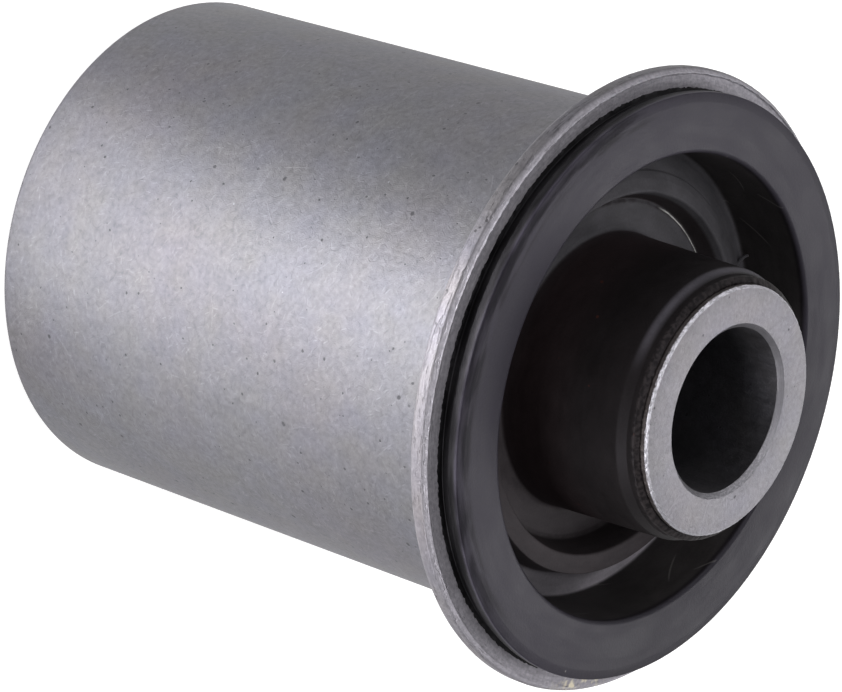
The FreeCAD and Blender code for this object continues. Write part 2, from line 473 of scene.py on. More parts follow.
class Finish(NodeBench):
    """A procedural finish of one piece, on the piece's own coordinates.

    Most of its methods give a share of the surface: 1 where something holds and 0 elsewhere.

    Attributes:
        NOISE_SPAN: how much of the way from 0 to 1 noise fills.
        PATCH_EDGE: how much of that way the edge of a soft patch takes.
        LEAST_SPOT: size of the smallest spots against the others' spread.
        SPOT_CORE: how much of a spot's radius is full.
        LEAN_RANGE: how far scratches turn from one another, in radians.
        SCRATCH_BOW: how much a scratch bends over its length.
    """

    NOISE_SPAN = 0.55
    PATCH_EDGE = 0.2
    LEAST_SPOT = 0.4
    SPOT_CORE = 0.6
    LEAN_RANGE = 2.2
    SCRATCH_BOW = 0.5

    def __init__(self, name: str) -> None:
        """Start an empty material with one glossy shader.

        Args:
            name: the material's name.
        """
        self.material = bpy.data.materials.new(name)
        self.material.use_nodes = True
        super().__init__(self.material.node_tree)
        self.tree.nodes.clear()
        self.shader = self.add("ShaderNodeBsdfPrincipled")
        self.add("ShaderNodeOutputMaterial", {"Surface": self.shader.outputs[0]})
        self.place = self.add("ShaderNodeTexCoord").outputs["Object"]
        self.across, self.along, self.height = self.parts(self.place)
        self.flat = self.joined(self.across, self.along)
        self.radius = self.vector("LENGTH", self.flat, result="Value")
        self.angle = self.math("ARCTAN2", self.across, self.math("MULTIPLY", self.along, -1.0))

    def set(self, **inputs: object) -> None:
        """Fill the shader's inputs.

        Args:
            inputs: a socket or a plain value for each input, named with low dashes for spaces.
        """
        for key, value in inputs.items():
            socket = self.shader.inputs[key.replace("_", " ")]
            if isinstance(value, Socket):
                self.tree.links.new(value, socket)
            else:
                socket.default_value = value

    def mix(self, share: Value, first: Socket | Colour, second: Socket | Colour) -> Socket:
        """Mix two colours by a share that varies over the surface.

        Args:
            share: how much of the second colour shows.
            first: colour where the share is 0.
            second: colour where it is 1.

        Returns:
            The mixed colour.
        """
        given = {0: share}
        for key, colour in ((6, first), (7, second)):
            given[key] = (*colour, 1.0) if isinstance(colour, tuple) else colour
        return self.add("ShaderNodeMix", given, data_type="RGBA").outputs[2]

    def tint(self, colour: Socket | Colour, share: Socket, amount: float) -> Socket:
        """Lighten or darken a colour by noise about its middle value."""
        return self.scaled(colour, self.math("MULTIPLY_ADD", share, 2 * amount, 1 - amount))

    def both(self, first: Value, second: Value) -> Socket:
        """Share of the surface where both shares hold."""
        return self.math("MULTIPLY", first, second)

    def either(self, first: Value, second: Value) -> Socket:
        """Share of the surface where one share or the other holds."""
        return self.math("MAXIMUM", first, second)

    def but(self, share: Value, cut: Value) -> Socket:
        """Share of the surface where the first holds and the second doesn't."""
        return self.both(share, self.math("SUBTRACT", 1.0, cut))

    def above(self, value: Socket, limit: float, soft: float) -> Socket:
        """1 where a length passes a limit and 0 short of it, both in millimetres."""
        return self.spread(value, (limit - soft) * MM, (limit + soft) * MM)

    def band(self, value: Socket, low: float, high: float, soft: float) -> Socket:
        """1 where a length lies between two limits and 0 outside, in millimetres."""
        past = self.spread(value, (high - soft) * MM, (high + soft) * MM, 1.0, 0.0)
        return self.both(self.above(value, low, soft), past)

    def sector(self, low: float, high: float, soft: float) -> Socket:
        """Part of the way round the bore.

        Args:
            low: direction where it starts, in degrees from -Y towards +X.
            high: direction where it ends.
            soft: degrees over which it fades at both ends.

        Returns:
            1 inside and 0 outside.
        """
        first, last, ease = math.radians(low), math.radians(high), math.radians(soft)
        past = self.spread(self.angle, last - ease, last + ease, 1.0, 0.0)
        return self.both(self.spread(self.angle, first - ease, first + ease), past)

    def patches(self, grain: float, share: float, soft: float, seed: float) -> Socket:
        """Cloudy patches.

        Args:
            grain: rough size of a patch, in millimetres.
            share: rough share of the surface inside the patches.
            soft: how gently a patch ends, from 0 to 1.
            seed: shifts the pattern.

        Returns:
            1 inside a patch and 0 outside.
        """
        middle = 0.5 + (0.5 - share) * self.NOISE_SPAN
        edge = self.PATCH_EDGE * soft
        cloud = self.noise(self.place, grain, seed=seed)
        return self.spread(cloud, middle - edge, middle + edge)

    def around(self, grain: float, stretch: float, reach: float, seed: float,
               detail: float = 2.0) -> Socket:
        """Noise drawn out round the bore, without a seam.

        Args:
            grain: size of the grain across the streaks, in millimetres.
            stretch: how many times longer a streak is than it is wide.
            reach: radius of the surface that carries the streaks, in millimetres.
            seed: shifts the pattern.
            detail: how much finer grain is mixed in.

        Returns:
            Noise about 0.5.
        """
        circle = self.scaled(self.vector("NORMALIZE", self.flat), reach * MM / stretch)
        place = self.vector("ADD", circle, self.joined(up=self.height))
        return self.noise(place, grain, detail, self.math("ADD", self.radius, seed))

    def spots(self, spacing: float, size: float, share: float, seed: float) -> Socket:
        """Scattered small spots.

        Args:
            spacing: rough distance between neighbouring places, in millimetres.
            size: a spot's radius, in millimetres.
            share: the share of places that have a spot.
            seed: shifts the pattern.

        Returns:
            1 inside a spot and 0 outside.
        """
        wobble = self.noise(self.place, size * 1.5, seed=seed, colour=True)
        bent = self.vector("MULTIPLY_ADD", wobble, (size * MM,) * 3, self.place)
        shifted = self.vector("ADD", bent, (seed, seed / 2, -seed))
        cells = self.add("ShaderNodeTexVoronoi", {"Vector": shifted, "Scale": 1 / (spacing * MM)})
        pick, size_pick, _ = self.parts(cells.outputs["Color"])
        own_size = self.math("ADD", size_pick, self.LEAST_SPOT)
        far = self.math("DIVIDE", cells.outputs["Distance"], own_size)
        near = self.spread(far, self.SPOT_CORE * size / spacing, size / spacing, 1.0, 0.0)
        return self.both(near, self.math("LESS_THAN", pick, share))

    def hairs(self, grain: float, width: float, share: float, seed: float) -> Socket:
        """Fine curly lines all over, as tumbling leaves on bare steel.

        Args:
            grain: rough size of the curls, in millimetres.
            width: width of a line, in millimetres.
            share: rough share of the surface that carries lines.
            seed: shifts the pattern.

        Returns:
            1 on a line and 0 off it.
        """
        level = self.noise(self.place, grain, detail=0.0, seed=seed)
        off = self.math("ABSOLUTE", self.math("SUBTRACT", level, 0.5))
        line = self.spread(off, 0.0, 0.5 * width / grain, 1.0, 0.0)
        return self.both(line, self.patches(grain * 0.5, share, 0.5, seed + 0.37))

    def scratches(self, reach: float, spacing: float, length: float, width: float, share: float,
                  lean: float, seed: float) -> Socket:
        """Separate thin scratches, each bent a little, on a surface that wraps round the bore.

        Args:
            reach: radius of that surface, in millimetres.
            spacing: rough distance between neighbouring places, in millimetres.
            length: length of a scratch, in millimetres.
            width: width of a scratch, in millimetres.
            share: the share of places that have a scratch.
            lean: middle direction of the scratches, in radians from the way round.
            seed: shifts the pattern.

        Returns:
            1 on a scratch and 0 off it.
        """
        sheet = self.joined(self.math("MULTIPLY", self.angle, reach * MM), self.height)
        sheet = self.vector("ADD", sheet, (seed, seed / 2, 0.0))
        given = {"Vector": sheet, "Scale": 1 / (spacing * MM)}
        cells = self.add("ShaderNodeTexVoronoi", given, voronoi_dimensions="2D")
        local = self.vector("SUBTRACT", sheet, cells.outputs["Position"])
        turn, bend, pick = self.parts(cells.outputs["Color"])
        angle = self.math("MULTIPLY_ADD", turn, self.LEAN_RANGE, lean - self.LEAN_RANGE / 2)
        given = {"Vector": local, "Angle": angle}
        turned = self.add("ShaderNodeVectorRotate", given, rotation_type="Z_AXIS").outputs[0]
        ahead, aside, _ = self.parts(turned)
        bow_factor = self.SCRATCH_BOW / (length * MM)
        curve = self.math("MULTIPLY", self.math("SUBTRACT", bend, 0.5), bow_factor)
        bow = self.math("MULTIPLY", self.math("MULTIPLY", ahead, ahead), curve)
        off = self.math("ABSOLUTE", self.math("ADD", aside, bow))
        thin = self.spread(off, 0.2 * width * MM, 0.8 * width * MM, 1.0, 0.0)
        run = self.math("ABSOLUTE", ahead)
        short = self.spread(run, 0.2 * length * MM, 0.5 * length * MM, 1.0, 0.0)
        return self.both(self.both(thin, short), self.math("LESS_THAN", pick, share))

    def bump(self, height: Socket, depth: float, strength: float = 1.0) -> Socket:
        """Raise the surface by a pattern, depth in millimetres."""
        inputs = {"Height": height, "Distance": depth * MM, "Strength": strength}
        return self.add("ShaderNodeBump", inputs).outputs[0]


@dataclass(frozen=True)
class SteelFinish:
    """Dull grey steel with a fine grain, pits and the small marks of tumbling.

    Attributes:
        name: the material's name.
        slot: the record's slot.
        colour: the steel's reflection colour.
        roughness: how dull it is.
        grain: size of the finest grain, in millimetres.
        contrast: how much the grain varies the colour.
        pits: share of pit places that are pitted.
        wear: how strong the hair lines and scratches are.
        reach: radius of the piece's main surface, in millimetres.
        cool: what a cool patch does to each channel of the colour.
        warm: what a warm patch does to each channel.
        rosy: what a broad rosy patch does to each channel.
        broad_grain: size of the broadest clouds, in millimetres.
        coarse_contrast: how many times the contrast the coarse grain has.
        middle_contrast: how many times the contrast the middle grain has.
        hair_light: how much hair lines shine against scratches.
        nick_light: how much nicks shine against scratches.
        rub_light: how much rubbed patches shine against scratches.
        light_strength: how much a scratch lightens the steel.
        dark_strength: how much a dark hair line darkens it.
        pit_strength: how strongly a pit shows.
        pit_shade: a pit's colour, as a share of the steel's.
        speck_shade: a bright speck's colour, as a share of the steel's.
        speck_share: how many specks there are against the pits.
        rough_spread: how much the roughness varies.
        mark_relief: depth of the lines against the pits.
        relief_depth: depth of the relief against the grain's size.
    """

    name: str
    slot: Slot
    colour: Colour
    roughness: float
    grain: float
    contrast: float
    pits: float
    wear: float
    reach: float
    cool: Colour = (0.98, 0.99, 1.05)
    warm: Colour = (1.02, 1.01, 0.96)
    rosy: Colour = (1.03, 0.985, 1.0)
    broad_grain: float = 14.0
    coarse_contrast: float = 5.0
    middle_contrast: float = 3.5
    hair_light: float = 0.7
    nick_light: float = 1.5
    rub_light: float = 1.4
    light_strength: float = 0.13
    dark_strength: float = 0.12
    pit_strength: float = 0.85
    pit_shade: float = 0.42
    speck_shade: float = 1.6
    speck_share: float = 0.7
    rough_spread: float = 0.12
    mark_relief: float = 0.3
    relief_depth: float = 0.15

    def shade(self, factor: float) -> Colour:
        """The steel's colour made lighter or darker."""
        return tuple(min(1.0, factor * channel) for channel in self.colour)

    def cast(self, factors: Colour) -> Colour:
        """The steel's colour with a slight cast."""
        return tuple(channel * factor for channel, factor in zip(self.colour, factors))

    def tone(self, work: Finish, fine: Socket, middle: Socket) -> Socket:
        """Lay cool, warm and rosy patches under a grain of four sizes.

        Args:
            work: the material to add to.
            fine: noise of the finest grain.
            middle: noise of the middle grain.

        Returns:
            Colour.
        """
        cool = work.patches(grain=5.0, share=0.5, soft=1.6, seed=4.0)
        colour = work.mix(cool, self.colour, self.cast(self.cool))
        warm = work.patches(grain=4.0, share=0.4, soft=1.6, seed=5.0)
        colour = work.mix(warm, colour, self.cast(self.warm))
        rosy = work.patches(grain=15.0, share=0.3, soft=1.6, seed=9.3)
        colour = work.mix(rosy, colour, work.vector("MULTIPLY", colour, self.rosy))
        coarse = work.noise(work.place, self.grain * 3, detail=1.0, seed=2.5)
        broad = work.noise(work.place, self.broad_grain, seed=3.0)
        colour = work.tint(colour, fine, self.contrast)
        colour = work.tint(colour, coarse, self.contrast * self.coarse_contrast)
        colour = work.tint(colour, middle, self.contrast * self.middle_contrast)
        return work.tint(colour, broad, self.contrast)

    def bright_marks(self, work: Finish, fine: Socket) -> Socket:
        """Lay out the hair lines, scratches, nicks and rubbed patches that shine.

        Args:
            work: the material to add to.
            fine: noise of the finest grain.

        Returns:
            How much each mark shines.
        """
        hairs = work.hairs(grain=1.2, width=0.12, share=0.45, seed=6.0)
        hairs = work.math("MULTIPLY", hairs, self.hair_light)
        scratches = work.scratches(
            self.reach, spacing=5.0, length=4.0, width=0.13, share=0.3, lean=0.3, seed=0.4
        )
        nicks = work.scratches(
            self.reach, spacing=0.9, length=0.9, width=0.14, share=0.5, lean=0.6, seed=0.7
        )
        nicks = work.both(nicks, work.patches(grain=2.6, share=0.5, soft=0.8, seed=6.6))
        nicks = work.math("MULTIPLY", nicks, self.nick_light)
        light = work.either(work.either(hairs, scratches), nicks)
        rubbed = work.both(work.patches(grain=2.2, share=0.16, soft=0.8, seed=8.0), fine)
        return work.math("ADD", light, work.math("MULTIPLY", rubbed, self.rub_light))

    def surface(self, work: Finish) -> tuple[Socket, Socket, Socket]:
        """Lay out the finish that covers the whole piece.

        Args:
            work: the material to add to.

        Returns:
            Colour, roughness and relief.
        """
        fine = work.noise(work.place, self.grain, seed=1.0)
        middle = work.noise(work.place, self.grain * 9, seed=2.0)
        colour = self.tone(work, fine, middle)
        light = self.bright_marks(work, fine)
        dark = work.hairs(grain=1.0, width=0.12, share=0.5, seed=7.0)
        lighter = self.light_strength * self.wear
        darker = -self.dark_strength * self.wear
        colour = work.scaled(colour, work.math("MULTIPLY_ADD", light, lighter, 1.0))
        colour = work.scaled(colour, work.math("MULTIPLY_ADD", dark, darker, 1.0))
        pits = work.either(
            work.spots(spacing=2.4, size=0.22, share=self.pits, seed=0.7),
            work.spots(spacing=1.2, size=0.15, share=self.pits, seed=0.5),
        )
        shown = work.math("MULTIPLY", pits, self.pit_strength)
        colour = work.mix(shown, colour, self.shade(self.pit_shade))
        specks = work.spots(spacing=2.2, size=0.1, share=self.pits * self.speck_share, seed=0.3)
        colour = work.mix(specks, colour, self.shade(self.speck_shade))
        smoothest = self.roughness - self.rough_spread / 2
        rough = work.math("MULTIPLY_ADD", middle, self.rough_spread, smoothest)
        marks = work.math("SUBTRACT", dark, light)
        sunk = work.math("MULTIPLY_ADD", marks, self.mark_relief, pits)
        return colour, rough, work.math("SUBTRACT", fine, sunk)

    def edges(self, work: Finish, colour: Socket, rough: Socket,
              raised: Socket) -> tuple[Socket, Socket, Socket]:
        """Leave the edges as the rest of the piece."""
        return colour, rough, raised

    def make(self) -> bpy.types.Material:
        """Build the material.

        Returns:
            The material.
        """
        work = Finish(self.name)
        colour, rough, raised = self.edges(work, *self.surface(work))
        relief = work.bump(raised, self.grain * self.relief_depth)
        work.set(Base_Color=colour, Metallic=1.0, Roughness=rough, Normal=relief)
        return work.material


@dataclass(frozen=True)
class SleeveSteel(SteelFinish):
    """The sleeve's steel, whose sheared rim is streaky with painted shade on the -X side, whose face is
    partly rubbed and partly painted light, and whose burr line carries a painted highlight on the -X
    side.

    Attributes:
        rim_radius: radius of the flange's rim, in millimetres.
        rim_back: height of the flange's back, in millimetres.
        rim_front: height of the flange's front, in millimetres.
        rim_width: how far in from the rim the sheared band reaches, in millimetres.
        rim_cast: what the shearing does to each channel of the colour.
        streak_depth: how much the streaks of the shearing vary its colour.
        streak_low: the sheared band's colour between streaks, as a share of the steel's.
        gouge_depth: how much a gouge darkens it.
        painted_shade_side: places along X between which the painted shade on the -X side gives way, in
            millimetres.
        painted_shade_share: colour of that shaded side, as a share of the rest.
        face_start: how far past the sleeve's outside the flange's bright face starts.
        face_painted_light: the face's colour, partly rubbed steel and partly painted light, as a share
            of the steel's.
        face_cast: the face's cast on each channel of its colour.
        face_rough: how much duller the face is.
        burr_highlight_side: places along X between which the painted highlight on the burr ends, in
            millimetres.
        burr_highlight_shade: the colour of the painted highlight on the burr, as a share of the steel's.
        burr_highlight_line: how far inside the rim the highlighted burr line starts and ends, in
            millimetres.
        scuff: colour of the rubbed spot on the rim's +X side.
        scuff_sector: where round the bore that spot is.
        scuff_strength: how strongly that spot shows.
        gouge_relief: depth of the gouges against the streaks.
        rim_relief: depth of the streaks against the grain.
        face_relief: depth of the face's grit against the grain.
    """

    rim_radius: float = 0.0
    rim_back: float = 0.0
    rim_front: float = 0.0
    rim_width: float = 0.9
    rim_cast: Colour = (1.03, 1.0, 1.0)
    streak_depth: float = 0.7
    streak_low: float = 0.95
    gouge_depth: float = 0.2
    painted_shade_side: Pair = (-17.0, 2.0)
    painted_shade_share: float = 0.62
    face_start: float = 1.5
    face_painted_light: float = 3.1
    face_cast: Colour = (1.02, 0.99, 0.99)
    face_rough: float = 0.15
    burr_highlight_side: Pair = (-12.0, 3.0)
    burr_highlight_shade: float = 4.0
    burr_highlight_line: Pair = (0.62, 0.46)
    scuff: Colour = (0.9, 0.83, 0.66)
    scuff_sector: Sector = (94.0, 106.0, 3.0)
    scuff_strength: float = 0.8
    gouge_relief: float = 1.5
    rim_relief: float = 1.2
    face_relief: float = 1.5

    def edges(self, work: Finish, colour: Socket, rough: Socket,
              raised: Socket) -> tuple[Socket, Socket, Socket]:
        """Streak and lighten the sheared rim, paint shade on its -X side, paint light on the face and a
        highlight on the burr line, and scuff the +X side.

        Args:
            work: the material to add to.
            colour: the piece's colour so far.
            rough: its roughness so far.
            raised: its relief so far.

        Returns:
            Colour, roughness and relief.
        """
        rim = work.both(
            work.above(work.radius, self.rim_radius - self.rim_width, soft=0.3),
            work.above(work.height, self.rim_back - 0.1, soft=0.1),
        )
        streaks = work.around(grain=0.22, stretch=7.0, reach=self.rim_radius, seed=0.11, detail=3.0)
        gouges = work.around(grain=0.3, stretch=5.0, reach=self.rim_radius, seed=0.23)
        gouges = work.spread(gouges, 0.36, 0.44, 1.0, 0.0)
        streaky = work.math("MULTIPLY_ADD", streaks, self.streak_depth, self.streak_low)
        gouged = work.math("MULTIPLY_ADD", gouges, -self.gouge_depth, 1.0)
        # Painted shade: the sheared rim is darker on its -X side.
        start, end = self.painted_shade_side
        dulled = work.spread(work.across, start * MM, end * MM, self.painted_shade_share, 1.0)
        sheared = work.scaled(work.scaled(work.scaled(colour, streaky), gouged), dulled)
        sheared = work.vector("MULTIPLY", sheared, self.rim_cast)
        colour = work.mix(rim, colour, sheared)
        # Painted light, partly rubbed steel: the flange's face is lightened and tinted.
        face = work.both(
            work.above(work.radius, self.reach + self.face_start, soft=0.4),
            work.above(work.height, self.rim_front - 0.3, soft=0.2),
        )
        grit = work.noise(work.place, grain=0.35, detail=3.0, seed=7.7)
        light = work.tint(self.shade(self.face_painted_light), streaks, amount=0.35)
        light = work.tint(light, grit, amount=0.4)
        colour = work.mix(face, colour, work.vector("MULTIPLY", light, self.face_cast))
        rough = work.math("MULTIPLY_ADD", face, self.face_rough, rough)
        scuff = work.patches(grain=0.9, share=0.4, soft=0.5, seed=2.2)
        scuff = work.both(work.both(face, work.sector(*self.scuff_sector)), scuff)
        colour = work.mix(work.math("MULTIPLY", scuff, self.scuff_strength), colour, self.scuff)
        # Painted highlight along the burr line on the -X side.
        colour = work.mix(self.burr(work), colour, self.shade(self.burr_highlight_shade))
        marks = work.math("SUBTRACT", streaks, work.math("MULTIPLY", gouges, self.gouge_relief))
        raised = work.math("MULTIPLY_ADD", work.both(rim, marks), self.rim_relief, raised)
        raised = work.math("MULTIPLY_ADD", work.both(face, grit), self.face_relief, raised)
        return colour, rough, raised

    def burr(self, work: Finish) -> Socket:
        """Find the painted highlight along the burr on the -X side.

        Args:
            work: the material to add to.

        Returns:
            1 where the highlight is painted on the burr.
        """
        start, end = self.burr_highlight_line
        line = work.band(work.radius, self.rim_radius - start, self.rim_radius - end, soft=0.06)
        full, gone = self.burr_highlight_side
        burr = work.both(line, work.spread(work.across, full * MM, gone * MM, 1.0, 0.0))
        burr = work.both(burr, work.above(work.height, self.rim_front - 0.12, soft=0.1))
        rubbed = work.around(grain=0.2, stretch=4.0, reach=self.rim_radius, seed=0.31, detail=3.0)
        return work.both(burr, work.spread(rubbed, 0.46, 0.6))


@dataclass(frozen=True)
class TubeSteel(SteelFinish):
    """The tube's steel, whose nicked chamfer carries a painted highlight and whose bore carries painted
    shade.

    Attributes:
        outside: the tube's outer radius, in millimetres.
        bore: the tube's bore radius, in millimetres.
        chamfer: width of the outer chamfer, in millimetres.
        bore_chamfer: width of the bore's chamfer, in millimetres.
        top: height of the upper end, in millimetres.
        chamfer_highlight_shade: the chamfer's colour, lightened as a painted highlight, as a share of
            the steel's.
        nick_highlight_shade: a nick's colour where that painted highlight is brightest, as a share of
            the steel's.
        nick_highlight_sector: where round the bore the painted highlight on the nicks is brightest.
        nick_relief: depth of the nicks against the grain.
        soil: colour of the soiled foot of the chamfer.
        soil_width: how far in from the outside the soil reaches, in millimetres.
        soil_rise: how far above the chamfer's foot the soil is full and gone, in millimetres.
        soil_wander: how far the soil's edge wanders, in millimetres.
        bore_painted_shade: the colour of the painted shade in the bore, as a share of the steel's.
        bore_painted_shade_amount: how strongly the painted shade darkens the bore's +Y side.
        bore_painted_shade_reach: place along Y where that painted shade is full, in millimetres.
        turned_shade: a turning line's colour, as a share of the steel's.
        chip_shade: colour of a chip on the bore's chamfer, as a share of the steel's.
        chip_sector: where round the bore the chips are.
        chip_strength: how strongly the chips show.
    """

    outside: float = 0.0
    bore: float = 0.0
    chamfer: float = 0.0
    bore_chamfer: float = 0.0
    top: float = 0.0
    chamfer_highlight_shade: float = 2.1
    nick_highlight_shade: float = 3.9
    nick_highlight_sector: Sector = (-75.0, 35.0, 35.0)
    nick_relief: float = 2.0
    soil: Colour = (0.09, 0.078, 0.078)
    soil_width: float = 0.12
    soil_rise: Pair = (0.1, 0.3)
    soil_wander: float = 0.5
    bore_painted_shade: float = 0.25
    bore_painted_shade_amount: float = 0.4
    bore_painted_shade_reach: float = 7.0
    turned_shade: float = 1.5
    chip_shade: float = 2.0
    chip_sector: Sector = (70.0, 165.0, 15.0)
    chip_strength: float = 0.7

    def edges(self, work: Finish, colour: Socket, rough: Socket,
              raised: Socket) -> tuple[Socket, Socket, Socket]:
        """Paint a highlight on the nicked chamfer, soil its foot, paint shade on the bore's +Y side and
        leave turning lines and chips on the bore's chamfer.

        Args:
            work: the material to add to.
            colour: the piece's colour so far.
            rough: its roughness so far.
            raised: its relief so far.

        Returns:
            Colour, roughness and relief.
        """
        foot = self.top - self.chamfer
        chamfer = work.both(
            work.above(work.radius, self.outside - self.chamfer, soft=0.06),
            work.above(work.height, foot - 0.1, soft=0.08),
        )
        ragged = work.around(grain=0.18, stretch=2.5, reach=self.outside, seed=0.17, detail=3.0)
        nicks = work.spread(ragged, 0.36, 0.64)
        # Painted highlight: the whole chamfer is lightened, and its nicks most of all on the side
        # towards -Y.
        side = work.spread(work.sector(*self.nick_highlight_sector), 0.0, 1.0, 0.25, 1.0)
        dull, struck = self.shade(self.chamfer_highlight_shade), self.shade(self.nick_highlight_shade)
        colour = work.mix(chamfer, colour, work.mix(work.both(nicks, side), dull, struck))
        level = work.math("MULTIPLY_ADD", ragged, self.soil_wander * MM, work.height)
        full, gone = self.soil_rise
        soiled = work.both(
            work.above(work.radius, self.outside - self.soil_width, soft=0.05),
            work.spread(level, (foot + full) * MM, (foot + gone) * MM, 1.0, 0.0),
        )
        colour = work.mix(soiled, colour, self.soil)
        # Painted shade: the bore's wall darkens towards +Y.
        inside = work.spread(work.along, 0.0, self.bore_painted_shade_reach * MM)
        inside = work.but(inside, work.above(work.radius, self.bore + 0.06, soft=0.04))
        inside = work.math("MULTIPLY", inside, self.bore_painted_shade_amount)
        colour = work.mix(inside, colour, self.shade(self.bore_painted_shade))
        rim = work.both(
            work.band(work.radius, self.bore - 0.05, self.bore + self.bore_chamfer, soft=0.03),
            work.above(work.height, self.top - self.bore_chamfer, soft=0.05),
        )
        turned = work.around(grain=0.07, stretch=40.0, reach=self.bore, seed=0.29)
        colour = work.mix(work.both(rim, turned), colour, self.shade(self.turned_shade))
        chips = work.around(grain=0.16, stretch=2.0, reach=self.bore, seed=0.41, detail=3.0)
        chips = work.both(work.both(rim, work.spread(chips, 0.46, 0.6)), work.sector(*self.chip_sector))
        chips = work.math("MULTIPLY", chips, self.chip_strength)
        colour = work.mix(chips, colour, self.shade(self.chip_shade))
        raised = work.math("MULTIPLY_ADD", work.both(chamfer, nicks), self.nick_relief, raised)
        raised = work.math("MULTIPLY_ADD", rim, turned, raised)
        return colour, rough, raised


@dataclass(frozen=True)
class RubberFinish:
    """Moulded black rubber with a dusty bloom, specks, faint streaks, rubbed marks, and painted
    highlights and shade on the coat's shoulder, in the recess and on the ring's margin.

    Attributes:
        coat_radius: radius inside which the rubber is clean, in millimetres.
        wall_radius: radius of the recess's wall, in millimetres.
        ring_radius: radius of the outer ring, in millimetres.
        ring_top: height of the ring's face, in millimetres.
        coat_top: height of the coat's upper end, in millimetres.
        riser_radius: radius where the ridge in the recess starts to rise, in millimetres.
        step_radius: radius where the recess's outer ledge starts, in millimetres.
        name: the material's name.
        slot: the record's slot.
        clean: colour of the coat on the tube.
        deep: colour of the coat down in the recess.
        deep_reach: how far below the coat's top the deep colour is full and gone, in millimetres.
        edge: colour of the ring's outer side and its flash.
        bloom: colour of the dusty film on the ring's face.
        bloom_lift: how much lighter the film is inside its sector.
        bloom_sector: where round the bore that is.
        face_drop: how far below the ring's face its outer side starts, in millimetres.
        wall: colour of the recess's wall.
        wall_drop: how far below the ring's face that colour starts, in millimetres.
        wall_film: how much of the wall's film lies even, from 0 to 1.
        ledge: colour of the ledges in the recess, much lighter than the ring's face: partly dust, partly
            painted light against the recess's shade.
        brown_ledge: colour of the ledges on the +X side.
        outermost_ledge_highlight: colour of the outermost ledge on the +X side, lightened as a painted
            highlight.
        crest_width: how far in from the wall the crest reaches, in millimetres.
        crest_highlight_lift: how much lighter the painted highlight on the ledge's crest is.
        crest_highlight_sector: where round the bore the crest carries that painted highlight.
        riser: colour of the ridge's steep inner side.
        riser_width: width of that side, in millimetres.
        foot_shade_width: width of the painted shade along its foot, in millimetres.
        foot_shade_strength: how strongly that painted shade shows.
        shoulder: colour of the painted highlight on the coat's shoulder.
        shoulder_highlight_drop: how far below the coat's top that painted highlight lies, in
            millimetres.
        shoulder_highlight_sector: where round the bore that painted highlight lies.
        neck: colour of the crumbly film at the coat's upper end.
        neck_drop: how far below the coat's top that film starts, in millimetres.
        ridge_foot_highlight: colour of the thin painted highlight at the ridge's foot.
        ridge_foot_highlight_reach: how far inside and past the ridge's foot that painted highlight
            reaches, in millimetres.
        ridge_foot_highlight_wander: how far that painted highlight wanders, in millimetres.
        ridge_foot_highlight_sector: where round the bore that painted highlight is.
        dust: colour of dust specks and pale scuffs.
        dust_strength: how strongly dust shows.
        scuff_strength: how strongly scuffs show against specks.
        rust: colour of the few brown flecks on the coat.
        rust_strength: how strongly those flecks show.
        margin_shade_width: width of the ring's outer margin that carries painted shade, in millimetres.
        margin_shade_sector: where round the bore that painted shade lies.
        margin_shade: how dark and how light the streaky painted shade gets.
        roughness: how dull the rubber is.
        cloud_rough: how much clouds vary that.
        streak_rough: how much streaks vary it.
        streak_relief: depth of the streaks against the grain.
        clean_gloss: how strongly the coat mirrors light.
        gloss: how strongly the ring mirrors light.
        ledge_gloss: how strongly the dusty ledges mirror light.
        gloss_tint: colour of the light that the rubber mirrors.
    """

    coat_radius: float
    wall_radius: float
    ring_radius: float
    ring_top: float
    coat_top: float
    riser_radius: float
    step_radius: float
    name: str = "moulded_rubber"
    slot: Slot = Slot.RUBBER
    clean: Colour = (0.0088, 0.0073, 0.0076)
    deep: Colour = (0.021, 0.0145, 0.0155)
    deep_reach: Pair = (13.0, 6.0)
    edge: Colour = (0.003, 0.0028, 0.003)
    bloom: Colour = (0.0145, 0.0127, 0.0185)
    bloom_lift: float = 1.6
    bloom_sector: Sector = (-150.0, 95.0, 25.0)
    face_drop: float = 0.4
    wall: Colour = (0.032, 0.029, 0.0295)
    wall_drop: float = 0.6
    wall_film: float = 0.65
    ledge: Colour = (0.08, 0.077, 0.085)
    brown_ledge: Colour = (0.062, 0.054, 0.058)
    outermost_ledge_highlight: Colour = (0.118, 0.11, 0.122)
    crest_width: float = 1.3
    crest_highlight_lift: float = 2.6
    crest_highlight_sector: Sector = (112.0, 165.0, 14.0)
    riser: Colour = (0.032, 0.027, 0.029)
    riser_width: float = 0.75
    foot_shade_width: float = 0.45
    foot_shade_strength: float = 0.75
    shoulder: Colour = (0.058, 0.054, 0.064)
    shoulder_highlight_drop: Pair = (2.0, 1.35)
    shoulder_highlight_sector: Sector = (-125.0, -14.0, 14.0)
    neck: Colour = (0.025, 0.021, 0.0215)
    neck_drop: float = 0.55
    ridge_foot_highlight: Colour = (0.62, 0.62, 0.6)
    ridge_foot_highlight_reach: Pair = (0.13, 0.04)
    ridge_foot_highlight_wander: float = 0.2
    ridge_foot_highlight_sector: Sector = (-130.0, -97.0, 4.0)
    dust: Colour = (0.2, 0.19, 0.185)
    dust_strength: float = 0.8
    scuff_strength: float = 0.3
    rust: Colour = (0.045, 0.016, 0.012)
    rust_strength: float = 0.8
    margin_shade_width: float = 1.7
    margin_shade_sector: Sector = (-62.0, 62.0, 14.0)
    margin_shade: Pair = (0.5, 1.1)
    roughness: float = 0.5
    cloud_rough: float = 0.12
    streak_rough: float = 0.16
    streak_relief: float = 1.2
    clean_gloss: float = 0.105
    gloss: float = 0.27
    ledge_gloss: float = 0.03
    gloss_tint: Colour = (0.93, 0.885, 1.0)

